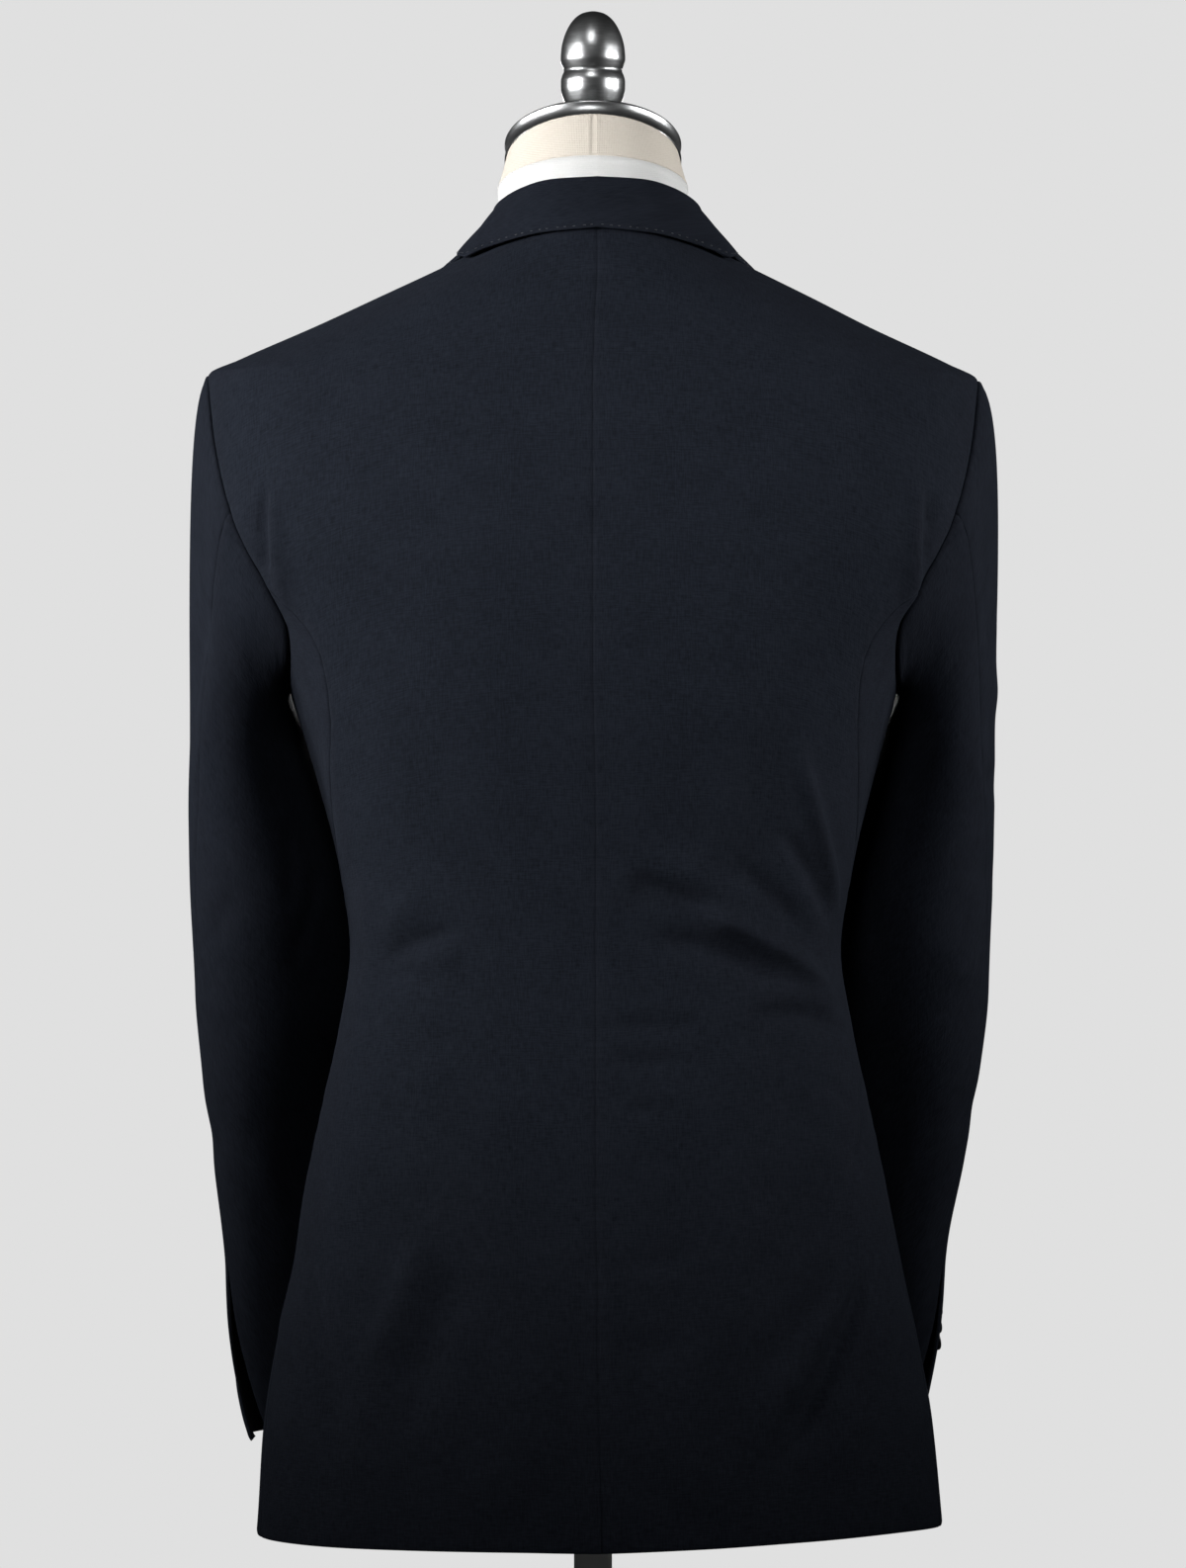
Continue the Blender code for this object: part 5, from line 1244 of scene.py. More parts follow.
def even_places(line: Callable[[Array], Array], cell: float) -> Array:
    """Shares along rows, at even real distances with close ones at the seams.

    Args:
        line: maps shares as (1, count) to points as (rows, count, 3).
        cell: wanted distance between columns at the longest row.

    Returns:
        rows x columns shares, the first and last a hair past the seam lines.
    """
    steps = np.linspace(0.0, 1.0, COLUMN_SAMPLES)[None, :]
    run = run_along(line(steps), 1)
    shares = dense_ends(float(run[:, -1].max()), cell)
    wanted = SEAM_HALF_GAP + (run[:, -1:] - 2 * SEAM_HALF_GAP) * shares[None, :]
    places = np.array([np.interp(row, distance, steps[0]) for row, distance in zip(wanted, run)])
    places[:, 0] = wanted[:, 0] / run[:, -1]
    places[:, -1] = 1.0 - wanted[:, 0] / run[:, -1]
    return places


def even_rows(line: Callable[[Array], Array], low: float, high: float, cell: float,
              corners: tuple = ()) -> Array:
    """Row values between two, at even real distances along a line of points, close at the ends.

    Each of the `corners` takes the nearest row onto itself.
    """
    fine = np.linspace(low, high, ROW_SAMPLES)
    run = run_along(line(fine), 0)
    rows = np.interp(dense_ends(float(run[-1]), cell) * run[-1], run, fine)
    for corner in corners:
        rows[np.abs(rows - corner).argmin()] = corner
    return rows


PUCKER_REACH = 0.007  # metres from a seam to where its puckers have died away


def pucker(across: Array, along: Array, seam_distance: Array, depth: float, pitch: float) -> Array:
    """Uneven little waves along a seam, gone a centimetre or so away from it.

    Args:
        across: real distance round the body.
        along: height.
        seam_distance: distance from the seam.
        depth: height of the waves.
        pitch: length of a wave.

    Returns:
        The push.
    """
    phase = 2.0 * math.pi * along / pitch
    uneven = 0.6 + 0.4 * np.sin(phase * 0.19 + across * 90.0)
    wave = np.sin(phase + 1.3 * np.sin(phase * 0.37 + 0.8)) * uneven
    return depth * wave * bell(seam_distance, PUCKER_REACH)


# ==== The jacket's pieces ====
@dataclass
class BodyPanels:
    """The backs, side bodies and fronts."""

    finishes: Finishes
    back_cell: float = 0.00285
    side_cell: float = 0.0037
    front_cell: float = 0.0036
    hollow_samples: int = 600  # steps that the side body's top is read with
    seam_pucker: float = 0.00022
    pucker_pitch: float = 0.021
    hem_wave: float = 0.0012
    hem_turns: tuple[float, float] = (46.0, 81.0)  # radians a metre of its long and its short waves
    hem_reach: float = 0.05  # height over the hem at which its waves have died away
    nape_start: float = 0.6  # above this height the back's rows rise towards the nape

    def crease_push(self, side: Side, angles: Array, heights: Array) -> Array:
        """Creases, seam puckers and the hem's soft waves, summed at places on the body."""
        girth = BODY.girth(side, angles, heights)
        push = BODY_FOLDS.push(side, angles, heights)
        push = push + pucker(girth, heights, girth, self.seam_pucker, self.pucker_pitch)
        back_seam = girth - BODY.girth(side, smooth(BACK_SEAM, 1, heights), heights)
        push = push + pucker(girth, heights + 0.3, back_seam, self.seam_pucker, self.pucker_pitch * 0.8)
        near_hem = bell(np.clip(heights, 0.0, None), self.hem_reach)
        long, short = self.hem_turns
        waves = np.sin(girth * long + side.value) + 0.6 * np.sin(girth * short + 2.0)
        return push + self.hem_wave * 0.5 * waves * near_hem

    @staticmethod
    def outer_edge(seam: Table, junction: float, front: bool, low: Array) -> Array:
        """Outer angle of a panel's rows: the side seam, then the armhole, then the shoulder seam."""
        heights, angles = BODY.armhole_edge(front)
        beside = np.where(low <= junction, smooth(seam, 1, low), np.interp(low, heights, angles))
        return np.where(low < SHOULDER_HEIGHT, beside, 90.0)

    def panel(self, kind: str, side: Side, place: Callable[[Array, Array], tuple[Array, Array]],
              span: tuple[float, float], cell: float, corners: tuple = ()) -> Item:
        """Args:
            kind: the panel's name without its side.
            side: the wearer's side.
            place: maps row values and shares across to angles and heights.
            span: first and last row value.
            cell: wanted size of a cell.
            corners: row values that a row has to meet.

        Returns:
            The panel.
        """
        rows = even_rows(lambda row: BODY.point(side, *place(row, np.full(row.shape, 0.5))), *span, cell,
                         corners)[:, None]
        shares = even_places(lambda share: BODY.point(side, *place(rows, share)), cell)
        angles, heights = place(rows, shares)
        points, normals = BODY.point(side, angles, heights), BODY.normal(side, angles, heights)
        if kind == "front":
            points, normals = front_point(side, angles, heights, np.zeros(angles.shape))
        name = f"{kind}_{side.label}"
        push = self.crease_push(side, angles, heights)
        cloth = Cloth(f"cloth_{name}", name, "navy_wool", points, normals, push)
        item = cloth.build(self.finishes.wool, self.finishes.lining)
        return item

    def back(self, side: Side) -> Item:
        """Back panel: from the centre-back seam to the side seam, the armhole and the shoulder seam."""
        junction = BODY.junction(BACK_SEAM, False)

        def place(low: Array, share: Array) -> tuple[Array, Array]:
            rise = NAPE_LIFT * within((low - self.nape_start) / (NECK_POINT_HEIGHT - self.nape_start)) ** 2
            height = low + rise * 0.5 * (1.0 + np.cos(math.pi * share))
            return self.outer_edge(BACK_SEAM, junction, False, low) * share, height

        return self.panel("back", side, place, (0.0, NECK_POINT_HEIGHT), self.back_cell,
                          (junction, SHOULDER_HEIGHT))

    def side_body(self, side: Side) -> Item:
        """Side body: between the two side seams, hollowed at its top by the armhole."""
        tops = (BODY.junction(BACK_SEAM, False), BODY.junction(FRONT_SEAM, True))
        quarter = np.linspace(-0.25, 0.25, self.hollow_samples)
        angles, heights = BODY.armhole(ARMHOLE_LOWEST + quarter)
        from_back, to_front = smooth(BACK_SEAM, 1, heights), smooth(FRONT_SEAM, 1, heights)
        across = (angles - from_back) / (to_front - from_back)
        keep = (across > 0.0) & (across < 1.0) & (heights <= max(tops))
        order = np.argsort(across[keep])
        top_across = np.concatenate([[0.0], across[keep][order], [1.0]])
        top_height = np.concatenate([[tops[0]], heights[keep][order], [tops[1]]])

        def place(rise: Array, share: Array) -> tuple[Array, Array]:
            ceiling = np.interp(share, top_across, top_height) - UNDERARM_EASE * 4.0 * share * (1.0 - share)
            height = -FRONT_HEM_DROP * share**2 + (ceiling + FRONT_HEM_DROP * share**2) * rise
            angle = smooth(BACK_SEAM, 1, height) * (1.0 - share) + smooth(FRONT_SEAM, 1, height) * share
            return angle, height

        return self.panel("side", side, place, (0.0, 1.0), self.side_cell)

    def front(self, side: Side) -> Item:
        """Front: from the side seam, armhole and shoulder seam to the front edge and the roll line."""
        junction = BODY.junction(FRONT_SEAM, True)

        def place(low: Array, share: Array) -> tuple[Array, Array]:
            sink = front_sink(low)
            inner = BODY.angle_at_x(side, front_edge_x(side, low - sink), low - sink, True)
            outer = self.outer_edge(FRONT_SEAM, junction, True, low)
            return outer + (inner - outer) * share, low - sink * share**2

        return self.panel("front", side, place, (-FRONT_HEM_DROP, NECK_POINT_HEIGHT), self.front_cell,
                          (junction, SHOULDER_HEIGHT))


@dataclass
class Stitching:
    """Hand-set pick stitches: small beads of thread along a line on the cloth."""

    finishes: Finishes
    pitch: float = 0.0052
    length: float = 0.0016
    radius: float = 0.00028
    sink: float = 0.00006
    slit: float = 0.00075  # half width of a buttonhole's loop of stitches
    rings: int = 6
    sides: int = 8

    def along(self, name: str, line: Array, facing: Array) -> Item:
        """Set beads along a line of points at an even pitch, flattened against the cloth.

        Args:
            name: name of the piece.
            line: count x 3 points on the cloth's face.
            facing: count x 3 outward directions there.

        Returns:
            One object with all the beads.
        """
        run = run_along(line, 0)
        count = int(run[-1] / self.pitch)
        uneven = 0.12 * self.pitch * np.sin(np.arange(count) * 2.4)
        at = (np.arange(count) + 0.5) * run[-1] / count + uneven
        centre, normal = read_along(at, run, line), unit(read_along(at, run, facing))
        direction = unit(read_along(at + 0.001, run, line) - centre)
        aside = np.cross(normal, direction)
        lean = np.linspace(0.0, math.pi, self.rings)[:, None]
        turn = turn_steps(self.sides)
        reach = self.length / 2.0 * np.cos(lean) * np.ones(turn.shape)
        round_ = self.radius * np.maximum(np.sin(lean), 1e-3)
        bead = [array.reshape(1, -1, 1) for array in (reach, round_ * np.cos(turn), round_ * np.sin(turn))]
        points = (centre[:, None] + direction[:, None] * bead[0] + aside[:, None] * bead[1]
                  + normal[:, None] * (bead[2] + self.radius * 0.4 - self.sink))
        faces = grid_faces(self.rings, self.sides, closed=True)
        shift = (np.arange(count) * self.rings * self.sides)[:, None, None]
        item = mesh_object(name, points.reshape(-1, 3), (faces[None] + shift).reshape(-1, 4))
        return dress(item, (self.finishes.pick_thread,))

    def buttonhole(self, name: str, start: Array, end: Array, facing: Array) -> Item:
        """Close stitches round a slit from one point to another: a narrow loop with full ends.

        Args:
            name: name of the piece.
            start: the slit's first end.
            end: its other end.
            facing: outward direction there.

        Returns:
            One object with all the stitches.
        """
        turn = np.linspace(0.0, 2.0 * math.pi, 160)[:, None]
        ahead = end - start
        aside = unit(np.cross(facing, ahead))
        line = ((start + end) / 2.0 + facing * self.radius + ahead / 2.0 * signed_power(np.cos(turn), 0.4)
                + aside * self.slit * signed_power(np.sin(turn), 0.7))
        return self.along(name, line, np.broadcast_to(facing, line.shape))


@dataclass
class Lapels:
    """The two lapels, turned over at the roll line and lying on the fronts."""

    finishes: Finishes
    stitching: Stitching
    worked: Stitching
    hole_row: int = -11  # the buttonhole's row and its two end columns
    hole_columns: tuple[int, int] = (-13, -6)
    row_cell: float = 0.0028
    flat_columns: int = 26
    arc_points: int = 9
    roll_swell: float = 0.0016  # a soft ridge beside the roll: height, place and reach
    swell_place: float = 0.016
    swell_reach: float = 0.012
    width: float = 0.07  # across, for laying out the columns
    lowest_step: tuple[float, float] = (0.007, -0.001)  # from the roll to the long edge at the break
    stitch_inset: int = 5  # columns from the edge, and rows left free at either end
    stitch_ends: int = 8

    def build(self, side: Side) -> tuple[Item, ...]:
        """Rows from the roll line to the long edge, with a soft swell beside the roll."""
        span = ROLL_TOP_HEIGHT - GORGE_GAP - BREAK_HEIGHT
        heights = BREAK_HEIGHT + span * dense_ends(span * 1.1, self.row_cell)
        shares = (heights - BREAK_HEIGHT) / (ROLL_TOP_HEIGHT - BREAK_HEIGHT)
        roll = np.stack([side.value * front_edge_x(side, heights), heights], axis=-1)
        start = roll[0] + self.lowest_step
        edge = start + (np.array(LAPEL_TIP) - start) * shares[:, None]
        edge[:, 0] += LAPEL_BELLY * np.sin(math.pi * shares)
        flat = dense_ends(self.width, self.width / self.flat_columns)[1:]
        points, normals = turned_row(side, roll, edge, flat, LAPEL_WALL, self.arc_points)
        push = np.zeros(points.shape[:2])
        width = np.linalg.norm(edge - roll, axis=-1)[:, None] * flat[None, :]
        push[:, self.arc_points:] = self.roll_swell * bell(width - self.swell_place, self.swell_reach)
        name = f"lapel_{side.label}"
        cloth = Cloth(f"cloth_{name}", name, "navy_wool", points, normals, push, wall=LAPEL_WALL,
                      rounded=(True, True, False, True))
        # the lapel's inner face takes the darker copy of the wool: painted shade
        item = cloth.build(self.finishes.wool, self.finishes.wool_under)
        sewn_rows = slice(self.stitch_ends, -self.stitch_ends), -self.stitch_inset
        sewn = [self.stitching.along(f"stitches_{name}", points[sewn_rows], normals[sewn_rows])]
        if side is Side.LEFT:
            inner, outer = self.hole_columns
            sewn.append(self.worked.buttonhole("buttonhole_lapel", points[self.hole_row, inner],
                                               points[self.hole_row, outer], normals[self.hole_row, inner]))
        return item, *sewn


@dataclass
class Collar:
    """The collar: stand and fall in one wall, from one gorge round the neck to the other."""

    finishes: Finishes
    stitching: Stitching
    station_rows: int = 14
    stand_columns: int = 6
    arc_columns: int = 9
    fall_columns: int = 20
    fall_width: float = 0.04  # for laying out the fall's columns
    swell_stations: float = 1.5  # stations past the shoulder over which the fall fills out
    crease_reach: float = 0.4  # share of the fall that a crease covers
    # station (to the left above zero), share of the fall, width in stations, depth
    stitch_inset: int = 4  # columns from the edge, and rows left free at either end
    creases: tuple = ((0.6, 0.55, 0.35, 0.0009), (-1.4, 0.6, 0.5, -0.0008), (2.6, 0.5, 0.4, 0.0008),
                      (-3.0, 0.5, 0.4, 0.0007), (4.3, 0.5, 0.5, -0.0007), (-4.6, 0.5, 0.5, 0.0006))

    def neckline(self, side: Side, station: Array) -> tuple[Array, Array]:
        """Outer face of the panels' neckline at a collar station, and its outward normal."""
        back = within(station / COLLAR_SHOULDER)
        fore = within((station - COLLAR_SHOULDER) / (COLLAR_END - COLLAR_SHOULDER))
        top = np.array(ROLL_TOP_HEIGHT)
        end = float(BODY.angle_at_x(side, front_edge_x(side, top), top, True))
        angle = 90.0 * back + (end - 90.0) * fore
        height = NECK_POINT_HEIGHT + NAPE_LIFT * 0.5 * (1.0 + np.cos(math.pi * back))
        height = height - (NECK_POINT_HEIGHT - ROLL_TOP_HEIGHT) * fore**2
        return BODY.point(side, angle, height), BODY.normal(side, angle, height)

    def half(self, side: Side) -> tuple[Array, Array]:
        """Grid of one half, rows by station, columns from the foot over the fold to the edge.

        Returns:
            The points and the push of the fall's creases.
        """
        stations = np.linspace(0.0, COLLAR_END, int(COLLAR_END) * self.station_rows + 1)
        seam, seam_normal = self.neckline(side, stations)
        up = np.array([0.0, 0.0, 1.0])
        level = unit(seam_normal * np.array([1.0, 1.0, 0.0]))
        foot = seam - level * (WALL + COLLAR_FOOT_GAP) - up * COLLAR_FOOT_TUCK
        fold_x, fold_y, fold_height, angle, height = (
            smooth(COLLAR_STATIONS, column, stations) for column in range(1, 6))
        fold = np.stack([COLLAR_CENTRE_X + side.value * fold_x, fold_y, HEM_Z + fold_height], axis=-1)
        lift = LAYER_GAP + WALL + FALL_EASE
        edge = BODY.point(side, angle, height) + BODY.normal(side, angle, height) * lift
        outward = unit(edge - fold - up * ((edge - fold) @ up)[:, None])
        middle = fold - up * COLLAR_FOLD_RADIUS
        turn = np.linspace(math.pi, 0.0, self.arc_columns)[None, :, None]
        arc = middle[:, None] + COLLAR_FOLD_RADIUS * (outward[:, None] * np.cos(turn) + up * np.sin(turn))
        rise = np.linspace(0.0, 1.0, self.stand_columns)[None, :-1, None]
        stand = foot[:, None] + (arc[:, :1] - foot[:, None]) * rise
        chord = edge - arc[:, -1]
        swell = unit(np.cross(np.cross(chord, up), chord))
        shares = dense_ends(self.fall_width, self.fall_width / self.fall_columns)[1:]
        share = shares[None, :, None]
        before = within((stations - COLLAR_SHOULDER) / self.swell_stations)[:, None, None]
        bow = FALL_SWELL + FALL_FRONT_SWELL * before
        fall = arc[:, -1:] + chord[:, None] * share + swell[:, None] * (bow * 4.0 * share * (1.0 - share))
        grid = np.concatenate([stand, arc, fall], axis=1)
        gorge_top = np.array([[ROLL_TOP_X, ROLL_TOP_HEIGHT + GORGE_GAP]])
        notch = gorge_top + NOTCH_SHARE * (np.array(LAPEL_TIP) - (ROLL_TOP_X, ROLL_TOP_HEIGHT))
        end_row, _ = turned_row(side, gorge_top, notch, shares, WALL, stand.shape[1] + self.arc_columns)
        settle = within(stations - (COLLAR_END - 1.0))[:, None, None]
        push = np.zeros(grid.shape[:2])
        for station, place, width, depth in self.creases:
            if station * side.value > 0.0:
                push[:, -len(shares):] += (depth * bell(stations - abs(station), width)[:, None]
                                           * bell(shares - place, self.crease_reach)[None, :])
        return grid * (1.0 - settle) + end_row * settle, push

    def build(self) -> tuple[Item, Item]:
        """Join the halves at the centre back and set the pick stitches along the fall's edge."""
        left, left_push = self.half(Side.LEFT)
        right, right_push = self.half(Side.RIGHT)
        points = np.concatenate([left[::-1], right[1:]], axis=0)
        points[len(left) - 1, :, 0] = COLLAR_CENTRE_X
        push = np.concatenate([left_push[::-1], right_push[1:]], axis=0)
        outward = np.zeros(points.shape)
        outward[points.shape[0] // 2, points.shape[1] // 2] = (0.0, 1.0, 0.3)
        cloth = Cloth("cloth_collar", "collar", "navy_wool", points, outward, push,
                      rounded=(True, True, False, True))
        # the collar's inner face takes the darker copy of the wool: painted shade
        item = cloth.build(self.finishes.wool, self.finishes.wool_under)
        normals = grid_normals(points)
        side_on = np.sign((normals[len(left), -8] * np.array([0.0, 1.0, 0.3])).sum())
        thread = self.stitching.along("stitches_collar", points[4:-4, -self.stitch_inset],
                                      normals[4:-4, -self.stitch_inset] * side_on)
        return item, thread


@dataclass
class Pockets:
    """Two hip pocket flaps and the welt of the breast pocket."""

    finishes: Finishes
    cell: float = 0.0026
    flap_corner: float = 0.012
    flap_curl: float = 0.0012  # how far the lower edge stands off
    flap_slope: float = 0.004  # how much lower the outer corner is
    width: float = 0.14  # for laying out the columns and the round corner

    def patch(self, name: str, side: Side, corners: tuple, drop: float, corner: float) -> Item:
        """A patch on a front: its upper edge between two (angle, height) corners, hanging by `drop`.

        Args:
            name: the solid's name.
            side: the wearer's side.
            corners: the upper edge's two ends as (angle, height).
            drop: height of the patch.
            corner: radius of its round corner, or 0.

        Returns:
            The patch.
        """
        (start_angle, start_height), (end_angle, end_height) = corners
        across = dense_ends(self.width, self.cell)[None, :]
        down = dense_ends(drop, self.cell)[:, None]
        angle = start_angle + (end_angle - start_angle) * across + 0.0 * down
        near = within(1.0 - (1.0 - across) * self.width / max(corner, 1e-6)) * float(corner > 0.0)
        length = drop - corner * (1.0 - np.sqrt(1.0 - near**2))
        height = start_height + (end_height - start_height) * across - length * down
        lift = LAYER_GAP + FLAP_WALL + self.flap_curl * down**3 * float(corner > 0.0)
        points, normals = front_point(side, angle, height, np.broadcast_to(lift, angle.shape))
        push = BODY_FOLDS.push(side, angle, height)
        cloth = Cloth(f"cloth_{name}", name, "navy_wool", points, normals, push, wall=FLAP_WALL)
        item = cloth.build(self.finishes.wool, self.finishes.lining)
        return item

    def build(self) -> list[Item]:
        """Place the flaps and the welt."""
        items = []
        for side in Side:
            inner = BODY.angle_at_x(side, np.array(side.value * FLAP_INNER_X), np.array(FLAP_HEIGHT), True)
            corners = (FLAP_OUTER_ANGLE, FLAP_HEIGHT - self.flap_slope), (float(inner), FLAP_HEIGHT)
            items.append(self.patch(f"pocket_flap_{side.label}", side, corners, FLAP_DROP, self.flap_corner))
        heights = (WELT_HEIGHT, WELT_HEIGHT + WELT_RISE)
        angles = [float(BODY.angle_at_x(Side.LEFT, np.array(x), np.array(height), True))
                  for x, height in zip((WELT_INNER_X, WELT_OUTER_X), heights)]
        items.append(self.patch("breast_welt", Side.LEFT, tuple(zip(angles, heights)), WELT_DROP, 0.0))
        return items


# the place on a sleeve is given by its turn in degrees from the outer side backwards and its share of the
# way from the armhole to the cuff; SLEEVE_LENGTH metres and TURN_WIDTH metres a degree lay it out flat; half
# width and depth are in millimetres, as above
SLEEVE_LENGTH = 0.62
TURN_WIDTH = 0.001
SLEEVE_CREASES = {
    Side.LEFT: (
        (78, 0.18, 62, 0.24, 40, 0.335, 9, -3, 1.2), (84, 0.24, 70, 0.31, 50, 0.4, 11, 2.2),
        (140, 0.405, 136, 0.45, 132, 0.5, 5, -1.8), (160, 0.44, 150, 0.5, 128, 0.56, 6, -1.6, 1.1),
        (96, 0.47, 82, 0.51, 60, 0.54, 9, -1.4), (40, 0.56, 66, 0.6, 96, 0.59, 10, 1.2),
        (20, 0.68, 56, 0.73, 90, 0.72, 12, -1.4), (110, 0.7, 130, 0.76, 150, 0.86, 12, 1.4),
        (200, 0.3, 232, 0.4, 262, 0.43, 9, -3, 1.2), (196, 0.38, 232, 0.47, 272, 0.5, 8, -2.6, 1.1),
        (214, 0.52, 250, 0.56, 290, 0.555, 9, -2.4), (216, 0.46, 250, 0.515, 292, 0.53, 10, 2.2),
        (230, 0.62, 262, 0.64, 300, 0.625, 10, -1.8), (-40, 0.1, -52, 0.2, -74, 0.32, 12, -2.2),
    ),
    Side.RIGHT: (
        (24, 0.225, 46, 0.236, 66, 0.228, 6, -2.8, 1.1), (20, 0.3, 44, 0.29, 68, 0.296, 11, 1.6),
        (22, 0.372, 44, 0.38, 64, 0.37, 6, -2.6, 1.1), (26, 0.455, 50, 0.47, 84, 0.455, 9, -1.4),
        (142, 0.405, 150, 0.48, 144, 0.56, 5.5, -2), (162, 0.42, 156, 0.5, 150, 0.59, 6, 1.4),
        (100, 0.52, 76, 0.56, 46, 0.57, 10, 1.4), (18, 0.66, 52, 0.7, 92, 0.69, 12, -1.4),
        (112, 0.66, 128, 0.75, 140, 0.85, 12, 1.5), (200, 0.31, 236, 0.4, 264, 0.44, 9, -3, 1.2),
        (198, 0.4, 234, 0.48, 276, 0.505, 8, -2.7, 1.1), (212, 0.53, 250, 0.57, 292, 0.56, 9, -2.2),
        (218, 0.47, 250, 0.52, 290, 0.535, 10, 2.2), (232, 0.62, 264, 0.65, 300, 0.63, 10, -1.8),
        (-38, 0.1, -50, 0.21, -76, 0.33, 12, -2.2),
    ),
}


@dataclass
class Sleeves:
    """Two-piece sleeves hanging from the armholes, each with a buttoned vent at the cuff."""

    finishes: Finishes
    top_cell: float = 0.0031
    under_cell: float = 0.0033
    head_roll: float = 0.0009
    head_roll_place: float = 0.006

    def creases(self, side: Side, turn: Array, share: Array) -> Array:
        """Summed push of the sleeve's creases; each is also read one whole turn round."""
        across, along = turn * TURN_WIDTH, share * SLEEVE_LENGTH
        push = np.zeros(turn.shape)
        for row in SLEEVE_CREASES[side]:
            line = [(row[k] * TURN_WIDTH, row[k + 1] * SLEEVE_LENGTH) for k in (0, 2, 4)]
            crease = Crease(*line, row[6] * MM, row[7] * MM, *row[8:])
            push = push + crease.push(across, along) + crease.push(across + 360.0 * TURN_WIDTH, along)
        return push

    def build(self, side: Side, top: bool) -> Item:
        """One half of a sleeve, between its two seams.

        Args:
            side: the wearer's side.
            top: whether the top half is meant or the under half.

        Returns:
            The half.
        """
        start_seam, end_seam = (INNER_SEAM, ELBOW_SEAM) if top else (ELBOW_SEAM, INNER_SEAM)
        cell = self.top_cell if top else self.under_cell

        def turns(share: Array, across: Array) -> Array:
            start = smooth(start_seam, 1, share) + (-360.0 if top else VENT_EASE * opened_share(share))
            return start + (smooth(end_seam, 1, share) - start) * across

        rows = even_rows(lambda share: sleeve_point(side, turns(share, np.full(share.shape, 0.6)), share),
                         0.0, 1.0, cell)[:, None]
        places = even_places(lambda across: sleeve_point(side, turns(rows, across), rows), cell)
        turn = turns(rows, places)
        share = np.broadcast_to(rows, turn.shape)
        points = sleeve_point(side, turn, share)
        if top:
            points[..., 0] += side.value * vent_flare(side, turn, share)
            points[..., 2] -= VENT_TIP_DROP * vent_corner(turn, share)
        else:
            points[..., 2] += VENT_UNDER_LIFT * vent_corner(turn, share)
        outward = points - points.mean(axis=1, keepdims=True)
        push = self.creases(side, turn, share)
        upper = within(np.cos(np.radians(turn)))
        push = push + self.head_roll * upper * bell(share * SLEEVE_LENGTH - self.head_roll_place, 0.006)
        name = f"sleeve_{'top' if top else 'under'}_{side.label}"
        slot = "navy_wool" if top else "navy_wool_under"
        cloth = Cloth(f"cloth_{name}", name, slot, points, outward, push)
        # the under half takes the darker copy of the wool: painted shade on the side turned in towards the
        # body
        item = cloth.build(self.finishes.wool if top else self.finishes.wool_under, self.finishes.lining)
        return item


